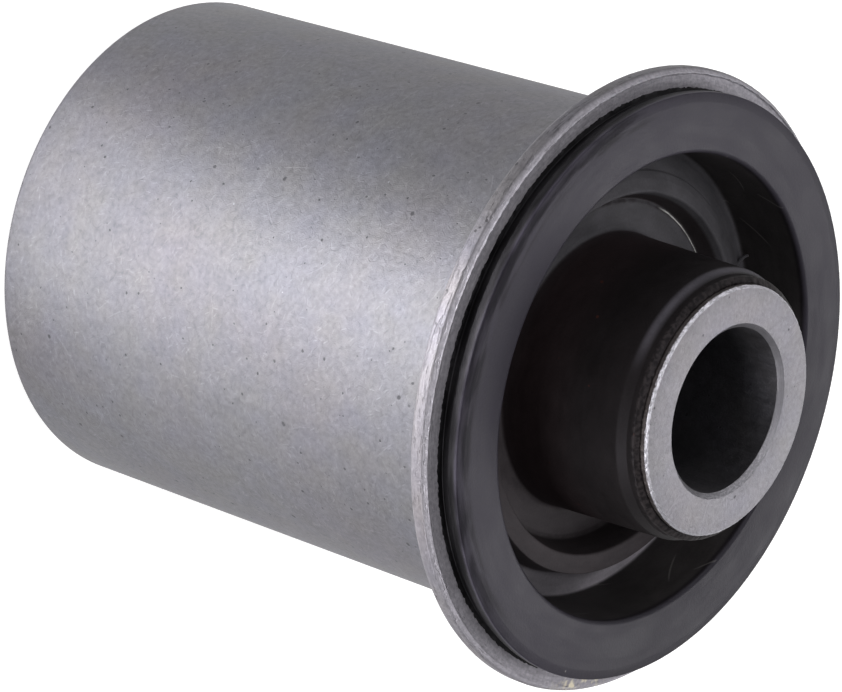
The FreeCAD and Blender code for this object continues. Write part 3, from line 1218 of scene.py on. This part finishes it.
    def zones(self, work: Finish) -> tuple[Socket, Socket]:
        """Lay out the film of dust with its painted highlights and shade, from the clean coat out to the
        ring's edge.

        Args:
            work: the material to add to.

        Returns:
            Colour and gloss.
        """
        ring = work.above(work.radius, self.wall_radius + 0.3, soft=0.2)
        ledges = work.band(work.radius, self.coat_radius, self.wall_radius - 0.1, soft=0.12)
        colour = self.coat_and_ring(work, ring)
        colour = self.with_wall(work, colour)
        # Partly dust, partly painted light: the ledges in the recess are much lighter than the rest of
        # the rubber.
        colour = work.mix(ledges, colour, self.ledge_tone(work))
        # Painted highlight: a thin pale line at the ridge's foot, on the -X side.
        colour = work.mix(self.ridge_foot_highlight_share(work), colour, self.ridge_foot_highlight)
        # Painted highlight: a light band on the coat's shoulder, on the -X side.
        start, end = self.shoulder_highlight_drop
        shoulder = work.both(
            work.band(work.height, self.coat_top - start, self.coat_top - end, soft=0.3),
            work.but(work.sector(*self.shoulder_highlight_sector), ledges),
        )
        colour = work.mix(work.but(shoulder, ring), colour, self.shoulder)
        crumbs = work.patches(grain=0.4, share=0.5, soft=0.6, seed=9.0)
        neck = work.above(work.height, self.coat_top - self.neck_drop, soft=0.15)
        colour = work.mix(work.both(neck, crumbs), colour, self.neck)
        gloss = work.spread(ring, 0.0, 1.0, self.clean_gloss, self.gloss)
        dulled = work.math("MULTIPLY", ledges, self.ledge_gloss - self.clean_gloss)
        return colour, work.math("ADD", gloss, dulled)

    def coat_and_ring(self, work: Finish, ring: Socket) -> Socket:
        """Colour the coat on the tube, the ring's face and its outer side.

        Args:
            work: the material to add to.
            ring: 1 on the ring and 0 inside it.

        Returns:
            Colour.
        """
        full, gone = self.deep_reach
        bloom = work.mix(
            work.sector(*self.bloom_sector), self.bloom, work.scaled(self.bloom, self.bloom_lift)
        )
        deep = work.spread(
            work.height, (self.coat_top - full) * MM, (self.coat_top - gone) * MM, 1.0, 0.0
        )
        colour = work.mix(ring, work.mix(deep, self.clean, self.deep), bloom)
        outside = work.but(ring, work.above(work.height, self.ring_top - self.face_drop, soft=0.2))
        return work.mix(outside, colour, self.edge)

    def with_wall(self, work: Finish, colour: Socket) -> Socket:
        """Cloud the wall of the recess below the ring's face.

        Args:
            work: the material to add to.
            colour: the colour so far.

        Returns:
            Colour.
        """
        wall = work.but(
            work.band(work.radius, self.wall_radius - 0.1, self.wall_radius + 1.0, soft=0.05),
            work.above(work.height, self.ring_top - self.wall_drop, soft=0.3),
        )
        clouds = work.patches(grain=3.5, share=0.5, soft=1.2, seed=3.3)
        cloudy = work.mix(clouds, self.wall, self.clean)
        return work.mix(wall, colour, work.mix(self.wall_film, cloudy, self.wall))

    def ledge_tone(self, work: Finish) -> Socket:
        """Colour the ledges in the recess and the ridge's steep side, with a painted highlight on the
        outer ledge and crest and painted shade along the ridge's foot.

        Args:
            work: the material to add to.

        Returns:
            Colour.
        """
        plus_x = work.spread(work.across, -8 * MM, 8 * MM)
        ledge = work.mix(plus_x, self.ledge, self.brown_ledge)
        # Painted highlight: the outermost ledge on the +X side and its crest are lightened.
        outer = work.both(work.above(work.radius, self.step_radius, soft=0.15), plus_x)
        ledge = work.mix(outer, ledge, self.outermost_ledge_highlight)
        crest = work.above(work.radius, self.wall_radius - self.crest_width, soft=0.5)
        crest = work.both(crest, work.sector(*self.crest_highlight_sector))
        ledge = work.mix(crest, ledge, work.scaled(self.outermost_ledge_highlight, self.crest_highlight_lift))
        foot = self.riser_radius
        riser = work.band(work.radius, foot, foot + self.riser_width, soft=0.1)
        ledge = work.mix(riser, ledge, self.riser)
        # Painted shade: a dark cloudy band on the ledge along the ridge's foot.
        foot_shade = work.patches(grain=0.9, share=0.6, soft=1.0, seed=4.4)
        foot_shade = work.both(
            work.band(work.radius, foot - self.foot_shade_width, foot, soft=0.12),
            work.math("MULTIPLY", foot_shade, self.foot_shade_strength),
        )
        return work.mix(foot_shade, ledge, self.riser)

    def ridge_foot_highlight_share(self, work: Finish) -> Socket:
        """Find the thin painted highlight at the ridge's foot.

        Args:
            work: the material to add to.

        Returns:
            How brightly that painted highlight shows, from 0 to 1.
        """
        wobble = work.around(grain=0.8, stretch=2.0, reach=self.riser_radius, seed=0.19)
        wobble = work.math("MULTIPLY_ADD", wobble, self.ridge_foot_highlight_wander * MM, work.radius)
        inside, past = self.ridge_foot_highlight_reach
        ridge_foot_highlight = work.both(
            work.band(wobble, self.riser_radius - inside, self.riser_radius + past, soft=0.04),
            work.sector(*self.ridge_foot_highlight_sector),
        )
        gleam = work.around(grain=0.35, stretch=3.0, reach=self.riser_radius, seed=0.13)
        return work.both(ridge_foot_highlight, work.spread(gleam, 0.3, 0.5, 0.35, 1.0))

    def with_marks(self, work: Finish, colour: Socket) -> Socket:
        """Add brown flecks to the coat, dust specks all over and scuffs on the ring's lip.

        Args:
            work: the material to add to.
            colour: the colour so far.

        Returns:
            Colour.
        """
        flecks = work.both(
            work.spots(spacing=1.6, size=0.2, share=0.14, seed=0.6),
            work.band(work.radius, self.coat_radius - 6.0, self.coat_radius, soft=0.3),
        )
        colour = work.mix(work.math("MULTIPLY", flecks, self.rust_strength), colour, self.rust)
        specks = work.either(
            work.spots(spacing=4.5, size=0.13, share=0.4, seed=0.9),
            work.spots(spacing=9.0, size=0.18, share=0.3, seed=0.8),
        )
        scuffs = work.scratches(
            self.wall_radius, spacing=5.0, length=5.0, width=0.16, share=0.4, lean=0.2, seed=0.15
        )
        lip = work.band(work.radius, self.wall_radius - 0.2, self.wall_radius + 0.5, soft=0.05)
        scuffs = work.math("MULTIPLY", work.both(scuffs, lip), self.scuff_strength)
        pale = work.math("MULTIPLY", work.either(specks, scuffs), self.dust_strength)
        return work.mix(pale, colour, self.dust)

    def make(self) -> bpy.types.Material:
        """Build the material.

        Returns:
            The material.
        """
        work = Finish(self.name)
        colour, gloss = self.zones(work)
        cloud = work.noise(work.place, grain=3.0, detail=3.0, seed=5.0)
        fine = work.noise(work.place, grain=0.22, seed=6.0)
        streaks = work.around(grain=0.9, stretch=6.0, reach=self.ring_radius, seed=0.21, detail=3.0)
        # Painted shade: the ring's outer margin is darkened in streaks on the -Y side, in colour and
        # gloss.
        margin = work.above(work.radius, self.ring_radius - self.margin_shade_width, soft=0.5)
        margin = work.both(margin, work.sector(*self.margin_shade_sector))
        margin_shade = work.spread(margin, 0.0, 1.0, 1.0, work.spread(streaks, 0.38, 0.64, *self.margin_shade))
        colour = work.scaled(work.tint(colour, cloud, amount=0.25), margin_shade)
        colour = work.tint(colour, streaks, amount=0.35)
        colour = work.tint(colour, fine, amount=0.2)
        smoothest = self.roughness - self.cloud_rough / 2
        rough = work.math("MULTIPLY_ADD", cloud, self.cloud_rough, smoothest)
        rough = work.math("SUBTRACT", rough, self.streak_rough / 2)
        rough = work.math("MULTIPLY_ADD", streaks, self.streak_rough, rough)
        skin = work.math("MULTIPLY_ADD", streaks, self.streak_relief, fine)
        work.set(
            Base_Color=self.with_marks(work, colour),
            Roughness=rough,
            Specular_IOR_Level=work.math("MULTIPLY", gloss, margin_shade),
            Specular_Tint=(*self.gloss_tint, 1.0),
            Normal=work.bump(skin, depth=0.018, strength=0.8),
        )
        return work.material


@dataclass
class OuterSleeve:
    """Rolled steel sleeve whose upper end is bent out into a flange, sizes in millimetres."""

    sizes: FrameSizes
    finish: SteelFinish
    wall: float = 2.0
    edge_round: float = 0.6
    bore_edge_round: float = 0.15
    bend_round: float = 1.2
    rim_bulge: float = 0.4
    rim_back_round: float = 0.95
    rim_front_round: float = 0.25
    rim_taper: float = 0.5
    rim_slack: float = 0.02
    rim_wander: Pair = (0.06, 0.0)
    rim_front_wander: Pair = (0.06, 0.06)
    burr_height: float = 0.16
    burr_low_height: float = 0.03
    burr_width: float = 0.16
    burr_dip: float = 0.04
    burr_foot_round: float = 0.05
    burr_tip_round: float = 0.04
    burr_foot_wander: Pair = (0.16, 0.06)
    burr_tip_wander: Pair = (0.2, 0.4)
    burr_back_wander: Pair = (0.2, 0.05)

    def corners(self) -> list[Corner]:
        """Section of the sleeve: plain end, outside, flange, rim with its sheared edge, and bore.

        Returns:
            The corners in order.
        """
        size = self.sizes
        bore = size.sleeve_radius - self.wall
        base = size.sleeve_base
        front = size.flange_front
        back = front - self.wall
        rim = size.flange_radius - self.rim_slack
        burr = size.flange_radius - self.rim_taper
        burr_foot = burr + self.burr_width / 2
        burr_tip = (burr, front + self.burr_height)
        low_tip = front + self.burr_low_height
        return [
            Corner(bore, base, self.bore_edge_round),
            Corner(size.sleeve_radius, base, self.edge_round),
            Corner(size.sleeve_radius, back, self.bend_round),
            Corner(rim, back, self.rim_back_round, self.rim_wander),
            Corner(rim, front - self.rim_bulge, self.rim_front_round, self.rim_front_wander),
            Corner(burr_foot, front - self.burr_dip, self.burr_foot_round, self.burr_foot_wander),
            Corner(burr, low_tip, self.burr_tip_round, self.burr_tip_wander, other=burr_tip),
            Corner(burr - self.burr_width, front, self.burr_foot_round, self.burr_back_wander),
            Corner(burr - 2.5 * self.burr_width, front),
            Corner(bore, front, self.wall + self.bend_round),
        ]

    def build(self, tree: TurningTree) -> bpy.types.Object:
        """Turn the sleeve and let it stand for its solid.

        Args:
            tree: the tree that turns it.

        Returns:
            The sleeve's object.
        """
        outline = Outline(self.corners(), arc_steps=6)
        piece = tree.turn(
            "outer_sleeve_shell", outline, self.finish.make(),
            Segments=1200, Ragged_Grain=0.5, Ragged_Calm=0.3, Seed=3.0,
        )
        return place_piece(piece, "outer_sleeve", self.finish.slot)


@dataclass
class InnerSleeve:
    """Thick steel tube, chamfered inside and outside at both ends, sizes in millimetres."""

    sizes: FrameSizes
    finish: SteelFinish
    edge_chamfer: float = 0.24
    bore_chamfer: float = 0.5
    edge_round: float = 0.08
    foot_wander: Pair = (0.14, 0.1)
    face_wander: Pair = (0.08, 0.0)
    mouth_wander: Pair = (0.05, 0.0)
    bore_wander: Pair = (0.05, 0.03)

    def corners(self) -> list[Corner]:
        """Section of the tube from the lower bore mouth round to the upper one.

        Returns:
            The corners in order.
        """
        size = self.sizes
        bore, outside, top = size.bore_radius, size.tube_radius, size.tube_top
        soft = self.edge_round
        return [
            Corner(bore, self.bore_chamfer, soft),
            Corner(bore + self.bore_chamfer, 0.0, soft),
            Corner(outside - self.edge_chamfer, 0.0, soft),
            Corner(outside, self.edge_chamfer, soft),
            Corner(outside, top - self.edge_chamfer, soft, self.foot_wander),
            Corner(outside - self.edge_chamfer, top, soft, self.face_wander),
            Corner(bore + self.bore_chamfer, top, soft, self.mouth_wander),
            Corner(bore, top - self.bore_chamfer, soft, self.bore_wander),
        ]

    def build(self, tree: TurningTree) -> bpy.types.Object:
        """Turn the tube and let it stand for its solid.

        Args:
            tree: the tree that turns it.

        Returns:
            The tube's object.
        """
        outline = Outline(self.corners(), arc_steps=3)
        piece = tree.turn("inner_sleeve_tube", outline, self.finish.make(), Ragged_Grain=0.35, Seed=9.0)
        return place_piece(piece, "inner_sleeve", self.finish.slot)


@dataclass(frozen=True)
class CurlPoint:
    """A point of the curl of flash.

    Attributes:
        radius: distance from the bore's axis, in millimetres.
        bearing: direction from the axis, in degrees from +X towards +Y.
        height: place along the bore, in millimetres.
    """

    radius: float
    bearing: float
    height: float

    def place(self) -> tuple[float, float, float, float]:
        """The point in metres, with its weight in the curve.

        Returns:
            Three lengths and a weight of 1.
        """
        bearing = math.radians(self.bearing)
        flat = Vector((math.cos(bearing), math.sin(bearing))) * self.radius
        return flat.x * MM, flat.y * MM, self.height * MM, 1.0


@dataclass
class RubberBush:
    """One rubber moulding: web, sleeve liner, flange ring, ridged recess and the coat on the tube.

    Sizes are in millimetres. The ridge in the recess is tall and blunt on the +X side of the bush
    and slopes up in steps on the -X side. Each low place is the radius of a corner on that side and
    its depth below the flange's front.
    """

    sizes: FrameSizes
    finish: RubberFinish
    ring_height: float = 2.4
    ring_overhang: float = 1.25
    ring_undercut: float = 0.55
    ring_edge_drop: float = 0.1
    ring_edge_width: float = 0.95
    ring_lip_round: float = 0.5
    ring_face_round: float = 1.2
    ring_edge_round: float = 0.15
    ring_side_rise: float = 0.5
    ring_side_round: float = 0.4
    overhang_setback: float = 0.04
    overhang_round: float = 0.12
    flash_reach: float = 0.55
    flash_setback: float = 0.04
    flash_thickness: float = 0.05
    flash_root_round: float = 0.1
    flash_wander: Pair = (0.6, 0.0)
    root_wander: Pair = (0.12, 0.0)
    overhang_wander: Pair = (0.12, 0.12)
    edge_wander: Pair = (0.05, 0.05)
    liner: float = 0.7
    recess_draft: float = 0.3
    recess_depth: float = 5.3
    inner_drop: float = 0.4
    root_round: float = 0.45
    ridge_outer: float = 19.775
    ridge_inner: float = 17.825
    ridge_height: float = 2.75
    ridge_outer_lean: float = 0.5
    ridge_inner_lean: float = 0.75
    ridge_foot_round: float = 0.3
    ridge_top_round: float = 0.3
    ridge_edge_round: float = 0.12
    ridge_edge_wander: Pair = (0.05, 0.03)
    ridge_top_wander: Pair = (0.04, 0.0)
    break_radius: float = 20.1
    break_rise: float = 0.9
    break_round: float = 0.1
    trough_radius: float = 16.0
    trough_rise: float = 0.04
    trough_round: float = 0.2
    low_outer_foot: Pair = (20.25, 3.9)
    low_break: Pair = (20.1, 3.66)
    low_ridge_outer: Pair = (19.45, 3.3)
    low_ridge_inner: Pair = (18.15, 2.9)
    low_inner_foot: Pair = (17.15, 5.3)
    low_trough: Pair = (16.75, 5.05)
    low_coat_foot: Pair = (13.8, 5.7)
    coat: float = 1.15
    coat_foot: float = 1.55
    coat_end_round: float = 0.3
    clean_reach: float = 1.6
    shoulder_round: float = 0.9
    neck: float = 0.7
    neck_length: float = 2.0
    neck_slope: float = 0.85
    neck_round: float = 0.25
    neck_end: float = 0.35
    neck_end_round: float = 0.2
    neck_wander: Pair = (0.12, 0.1)
    lip: float = 0.2
    lip_round: float = 0.1
    lip_drop: float = 0.05
    lip_wander: Pair = (0.15, 0.25)
    tube_wander: Pair = (0.0, 0.25)
    far_recess_depth: float = 5.0
    far_setback: float = 1.0
    far_edge_round: float = 0.15
    sleeve_wall: float = 2.0
    bend_outside: float = 3.2
    curl_thickness: float = 0.5
    curl_thinning: float = 0.15
    curl_points: tuple[CurlPoint, ...] = (
        CurlPoint(radius=21.3, bearing=129.8, height=66.2),
        CurlPoint(radius=21.8, bearing=131.6, height=66.5),
        CurlPoint(radius=22.3, bearing=133.0, height=66.9),
        CurlPoint(radius=22.6, bearing=133.2, height=67.3),
    )

    def curl_mesh(self) -> bpy.types.Mesh:
        """Draw the curl of flash that stands where the ridge meets the recess's wall.

        Returns:
            The curl's mesh, whose ends are still apart from its side.
        """
        curve = bpy.data.curves.new("flash_curl", "CURVE")
        curve.dimensions = "3D"
        curve.bevel_depth = self.curl_thickness / 2 * MM
        curve.bevel_resolution = 3
        curve.use_fill_caps = True
        spline = curve.splines.new("NURBS")
        spline.points.add(len(self.curl_points) - 1)
        for index, point in enumerate(self.curl_points):
            spline.points[index].co = point.place()
            spline.points[index].radius = 1.0 - self.curl_thinning * index
        spline.order_u = 3
        spline.use_endpoint_u = True
        curl = bpy.data.objects.new("flash_curl", curve)
        bpy.context.scene.collection.objects.link(curl)
        evaluated = curl.evaluated_get(bpy.context.evaluated_depsgraph_get())
        mesh = bpy.data.meshes.new_from_object(evaluated)
        bpy.data.objects.remove(curl)
        return mesh

    def add_curl(self, piece: bpy.types.Object) -> None:
        """Join the curl of flash to the moulding.

        Args:
            piece: the moulding's object.
        """
        shell = bmesh.new()
        shell.from_mesh(self.curl_mesh())
        bmesh.ops.remove_doubles(shell, verts=shell.verts, dist=1e-6)
        bmesh.ops.recalc_face_normals(shell, faces=shell.faces)
        for face in shell.faces:
            face.smooth = True
            face.material_index = 0
        shell.from_mesh(piece.data)
        shell.to_mesh(piece.data)
        shell.free()

    def low(self, place: Pair) -> Pair:
        """Radius and height of a corner on the -X side, from its radius and depth."""
        return place[0], self.sizes.flange_front - place[1]

    def corners(self) -> list[Corner]:
        """Section of the moulding, from the coat's lower end outwards and back up the recess.

        Returns:
            The corners in order.
        """
        size = self.sizes
        far_floor = size.sleeve_base + self.far_recess_depth
        far_end = size.sleeve_base + self.far_setback
        bore = size.sleeve_radius - self.sleeve_wall
        foot = bore - self.liner
        mouth = foot + self.recess_draft
        coat_side = size.tube_radius + self.coat
        coat_foot = size.tube_radius + self.coat_foot
        return [
            Corner(size.tube_radius, size.coat_base),
            Corner(coat_side, size.coat_base, self.coat_end_round),
            Corner(coat_foot, far_floor, self.root_round),
            Corner(foot, far_floor, self.root_round),
            Corner(mouth, far_end, self.far_edge_round),
            Corner(bore, far_end),
            Corner(bore, size.flange_front, self.bend_outside),
            *self.ring_corners(mouth),
            *self.ridge_corners(foot, coat_foot),
            *self.coat_corners(coat_side),
        ]

    def ring_corners(self, mouth: float) -> list[Corner]:
        """Section of the ring on the flange, from its flash round to the lip of the recess.

        Args:
            mouth: radius of the recess's mouth.

        Returns:
            The corners in order.
        """
        front = self.sizes.flange_front
        outside = self.sizes.ring_radius
        foot = outside - self.ring_undercut
        flash = foot + self.flash_reach
        thick = self.flash_thickness
        overhang = front + self.ring_overhang
        top = front + self.ring_height
        drop = top - self.ring_edge_drop
        return [
            Corner(flash, front, 0.0, self.flash_wander),
            Corner(flash - self.flash_setback, front + thick, 0.0, self.flash_wander),
            Corner(foot, front + thick * 2.5, self.flash_root_round, self.root_wander),
            Corner(outside - self.overhang_setback, overhang, self.overhang_round, self.overhang_wander),
            Corner(outside, overhang + self.ring_side_rise, self.ring_side_round),
            Corner(outside, drop, self.ring_edge_round, self.edge_wander),
            Corner(outside - self.ring_edge_width, top, self.ring_face_round),
            Corner(mouth, top, self.ring_lip_round),
        ]

    def ridge_corners(self, foot: float, coat_foot: float) -> list[Corner]:
        """Section of the recess, from the foot of its wall over the ridge to the coat's foot.

        Args:
            foot: radius of the wall's foot.
            coat_foot: radius of the coat's foot.

        Returns:
            The corners in order.
        """
        floor = self.sizes.flange_front - self.recess_depth
        inner_floor = floor - self.inner_drop
        trough_floor = inner_floor + self.trough_rise
        break_floor = floor + self.break_rise
        top = floor + self.ridge_height
        outer_foot = self.ridge_outer + self.ridge_outer_lean
        inner_foot = self.ridge_inner - self.ridge_inner_lean
        low = self.low
        return [
            Corner(foot, floor, self.root_round),
            Corner(outer_foot, floor, self.ridge_foot_round, other=low(self.low_outer_foot)),
            Corner(self.break_radius, break_floor, self.break_round, other=low(self.low_break)),
            Corner(self.ridge_outer, top, self.ridge_edge_round, self.ridge_edge_wander,
                   low(self.low_ridge_outer)),
            Corner(self.ridge_inner, top, self.ridge_top_round, self.ridge_top_wander,
                   low(self.low_ridge_inner)),
            Corner(inner_foot, inner_floor, self.ridge_foot_round, other=low(self.low_inner_foot)),
            Corner(self.trough_radius, trough_floor, self.trough_round, other=low(self.low_trough)),
            Corner(coat_foot, inner_floor, self.root_round, other=low(self.low_coat_foot)),
        ]

    def coat_corners(self, coat_side: float) -> list[Corner]:
        """Section of the coat's upper end, from its shoulder over the thin neck to the tube.

        Args:
            coat_side: radius of the coat's side.

        Returns:
            The corners in order.
        """
        tube, top = self.sizes.tube_radius, self.sizes.coat_top
        shoulder = top - self.neck_length
        neck = tube + self.neck
        return [
            Corner(coat_side, shoulder, self.shoulder_round),
            Corner(neck, shoulder + self.neck_slope, self.neck_round),
            Corner(neck, top - self.neck_end, self.neck_end_round, self.neck_wander),
            Corner(tube + self.lip, top, self.lip_round, self.lip_wander),
            Corner(tube, top - self.lip_drop, 0.0, self.tube_wander),
        ]

    def build(self, tree: TurningTree) -> bpy.types.Object:
        """Turn the moulding, add its curl and let it stand for its solid.

        Args:
            tree: the tree that turns it.

        Returns:
            The moulding's object.
        """
        outline = Outline(self.corners(), arc_steps=4)
        finish = self.finish.make()
        piece = tree.turn("rubber_bush_moulding", outline, finish, Ragged_Grain=0.35, Seed=5.0)
        self.add_curl(piece)
        return place_piece(piece, "rubber_bush", self.finish.slot)


def place_piece(piece: bpy.types.Object, node: str, slot: Slot) -> bpy.types.Object:
    """Let a finished piece ride on the bush and stand for its solid.

    Args:
        piece: the finished object.
        node: the solid's node name.
        slot: the record's material slot; not used.

    Returns:
        The same object.
    """
    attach(piece, "root")
    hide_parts(node)
    LOG.info("%s: %d faces", piece.name, len(piece.data.polygons))
    return piece


@dataclass(frozen=True)
class Lamp:
    """A soft rectangular lamp aimed at the bush.

    Attributes:
        name: the lamp's name.
        bearing: where it stands round the bush, in degrees from +X towards +Y.
        elevation: degrees above the bush's middle.
        power: in watts.
        width: across, in metres.
        height: up, in metres.
        distance: metres from the bush.
    """

    name: str
    bearing: float
    elevation: float
    power: float
    width: float = 0.3
    height: float = 0.3
    distance: float = 0.8

    def away(self) -> Vector:
        """Direction from the bush to the lamp.

        Returns:
            A vector of length 1.
        """
        bearing, rise = math.radians(self.bearing), math.radians(self.elevation)
        flat = math.cos(rise)
        return Vector((math.cos(bearing) * flat, math.sin(bearing) * flat, math.sin(rise)))

    def pose(self, target: Vector) -> Matrix:
        """Place and direction of the lamp, which looks at the target."""
        turn = self.away().to_track_quat("Z", "Y").to_matrix().to_4x4()
        return Matrix.Translation(target + self.away() * self.distance) @ turn

    def build(self, target: Vector) -> bpy.types.Object:
        """Hang the lamp.

        Args:
            target: the point that it lights.

        Returns:
            The lamp's object.
        """
        data = bpy.data.lights.new(self.name, "AREA")
        data.shape = "RECTANGLE"
        data.size = self.width
        data.size_y = self.height
        data.energy = self.power
        lamp = bpy.data.objects.new(self.name, data)
        lamp.matrix_world = self.pose(target)
        bpy.context.scene.collection.objects.link(lamp)
        return lamp


@dataclass(frozen=True)
class FloorPanel(Lamp):
    """A lit panel that lies on the floor and shines up at the sleeve, width running outwards."""

    elevation: float = 0.0
    power: float = 0.0
    width: float = 0.05
    height: float = 0.06
    distance: float = 0.085

    def pose(self, target: Vector) -> Matrix:
        """Place and direction of the panel, which looks straight up.

        Args:
            target: the point that it stands round.

        Returns:
            The panel's matrix.
        """
        place = Vector((target.x, target.y, MM)) + self.away() * self.distance
        turn = Matrix.Rotation(math.radians(self.bearing), 4, "Z")
        facing_up = Matrix.Rotation(math.pi, 4, "X")
        return Matrix.Translation(place) @ turn @ facing_up


@dataclass
class Studio:
    """Pale floor, soft lamps and the camera.

    The camera's place and aim are in millimetres, and the floor, its glow and the target in metres.
    """

    floor_half: float = 3.0
    floor_tone: float = 0.85
    floor_roughness: float = 0.9
    floor_glow: float = 0.47
    # Painted light: extra glow in a patch on the floor beside the base, where the bush's shadow falls.
    under_bush_painted_light: float = 0.36
    painted_light_centre: Pair = (-0.01, -0.052)
    painted_light_reach: Pair = (0.03, 0.1)
    sky: float = 0.36
    target: Vector = field(default_factory=lambda: Vector((0.0, 0.0, 0.045)))
    lamps: tuple[Lamp, ...] = (
        Lamp("side", bearing=330.0, elevation=10.0, power=3.30),
        Lamp("side_front", bearing=300.0, elevation=10.0, power=1.09),
        Lamp("back", bearing=90.0, elevation=35.0, power=1.5),
        Lamp("left", bearing=180.0, elevation=35.0, power=0.66),
        Lamp("low_back_left", bearing=140.0, elevation=15.0, power=0.16),
        Lamp("top_front", bearing=240.0, elevation=65.0, power=1.4),
        Lamp("top_right", bearing=0.0, elevation=65.0, power=0.23),
        FloorPanel("near", bearing=270.0, power=0.0165, width=0.03, height=0.05, distance=0.045),
        FloorPanel("key", bearing=270.0, power=0.037),
        FloorPanel("key_right", bearing=300.0, power=0.037),
        FloorPanel("key_far_right", bearing=330.0, power=0.015),
        FloorPanel("front", bearing=270.0, power=0.31, height=0.08, distance=0.135),
        FloorPanel("front_right", bearing=300.0, power=0.044, height=0.08, distance=0.135),
    )
    camera_place: tuple[float, float, float] = (0.0, -315.4326, 299.4077)
    camera_aim: tuple[float, float, float] = (3.032, -0.0808, 44.0915)
    camera_roll: float = -107.876
    lens: float = 172.87
    sensor: float = 36.0

    def build(self) -> None:
        """Set the floor, the sky, the lamps and the camera."""
        self.build_floor()
        self.build_sky()
        for lamp in self.lamps:
            lamp.build(self.target)
        self.build_camera()

    def build_floor(self) -> None:
        """Lay a plain pale floor that glows evenly, with painted light in a patch beside the bush's base
        that washes out its shadow.
        """
        half, tone = self.floor_half, self.floor_tone
        places = [(-half, -half, 0), (half, -half, 0), (half, half, 0), (-half, half, 0)]
        mesh = bpy.data.meshes.new("floor")
        mesh.from_pydata(places, [], [(0, 1, 2, 3)])
        floor = bpy.data.objects.new("floor", mesh)
        bpy.context.scene.collection.objects.link(floor)
        material = bpy.data.materials.new("pale_floor")
        material.use_nodes = True
        shader = material.node_tree.nodes["Principled BSDF"]
        bench = NodeBench(material.node_tree)
        place = bench.add("ShaderNodeTexCoord").outputs["Object"]
        away = bench.vector("DISTANCE", place, (*self.painted_light_centre, 0.0), result="Value")
        near, far = self.painted_light_reach
        glow = bench.spread(away, near, far, self.floor_glow + self.under_bush_painted_light, self.floor_glow)
        material.node_tree.links.new(glow, shader.inputs["Emission Strength"])
        shader.inputs["Base Color"].default_value = (tone, tone, tone, 1.0)
        shader.inputs["Roughness"].default_value = self.floor_roughness
        shader.inputs["Specular IOR Level"].default_value = 0.0
        shader.inputs["Emission Color"].default_value = (1.0, 1.0, 1.0, 1.0)
        mesh.materials.append(material)

    def build_sky(self) -> None:
        """Fill the room with even light."""
        world = bpy.data.worlds.new("room")
        world.use_nodes = True
        background = world.node_tree.nodes["Background"]
        background.inputs["Color"].default_value = (1.0, 1.0, 1.0, 1.0)
        background.inputs["Strength"].default_value = self.sky
        bpy.context.scene.world = world

    def build_camera(self) -> None:
        """Stand the camera where the photograph was taken from."""
        data = bpy.data.cameras.new("camera")
        data.lens = self.lens
        data.sensor_width = self.sensor
        data.clip_start = 0.01
        data.clip_end = 50.0
        camera = bpy.data.objects.new("camera", data)
        place = Vector(self.camera_place) * MM
        look = Vector(self.camera_aim) * MM - place
        facing = look.to_track_quat("-Z", "Y").to_matrix().to_4x4()
        roll = Matrix.Rotation(math.radians(-self.camera_roll), 4, "Z")
        camera.matrix_world = Matrix.Translation(place) @ facing @ roll
        bpy.context.scene.collection.objects.link(camera)
        bpy.context.scene.camera = camera


def sleeve_finish(sizes: FrameSizes) -> SleeveSteel:
    """Fit the sleeve's finish to its sizes.

    Args:
        sizes: the bush's sizes.

    Returns:
        The finish.
    """
    return SleeveSteel(
        name="sleeve_steel",
        slot=Slot.SLEEVE,
        colour=(0.1253, 0.124, 0.1355),
        roughness=0.57,
        grain=0.16,
        contrast=0.05,
        pits=0.55,
        wear=1.0,
        reach=sizes.sleeve_radius,
        rim_radius=sizes.flange_radius,
        rim_back=sizes.flange_front - OuterSleeve.wall,
        rim_front=sizes.flange_front,
    )


def tube_finish(sizes: FrameSizes) -> TubeSteel:
    """Fit the tube's finish to its sizes.

    Args:
        sizes: the bush's sizes.

    Returns:
        The finish.
    """
    return TubeSteel(
        name="tube_steel",
        slot=Slot.TUBE,
        colour=(0.1965, 0.192, 0.209),
        roughness=0.5,
        grain=0.12,
        contrast=0.05,
        pits=0.25,
        wear=0.6,
        reach=sizes.tube_radius,
        outside=sizes.tube_radius,
        bore=sizes.bore_radius,
        chamfer=InnerSleeve.edge_chamfer,
        bore_chamfer=InnerSleeve.bore_chamfer,
        top=sizes.tube_top,
    )


def rubber_finish(sizes: FrameSizes) -> RubberFinish:
    """Fit the rubber's finish to the moulding's sizes.

    Args:
        sizes: the bush's sizes.

    Returns:
        The finish.
    """
    return RubberFinish(
        coat_radius=sizes.tube_radius + RubberBush.clean_reach,
        wall_radius=sizes.sleeve_radius - OuterSleeve.wall - RubberBush.liner,
        ring_radius=sizes.ring_radius,
        ring_top=sizes.flange_front + RubberBush.ring_height,
        coat_top=sizes.coat_top,
        riser_radius=RubberBush.ridge_inner - RubberBush.ridge_inner_lean,
        step_radius=RubberBush.ridge_outer + RubberBush.ridge_outer_lean,
    )


def main() -> None:
    """Build the three pieces, the studio and the camera."""
    logging.basicConfig(level=logging.INFO, format="%(message)s")
    bpy.context.scene.view_settings.view_transform = "Standard"
    sizes = FrameSizes.read()
    tree = TurningTree()
    OuterSleeve(sizes, sleeve_finish(sizes)).build(tree)
    RubberBush(sizes, rubber_finish(sizes)).build(tree)
    InnerSleeve(sizes, tube_finish(sizes)).build(tree)
    Studio().build()


if __name__ == "__main__":
    main()
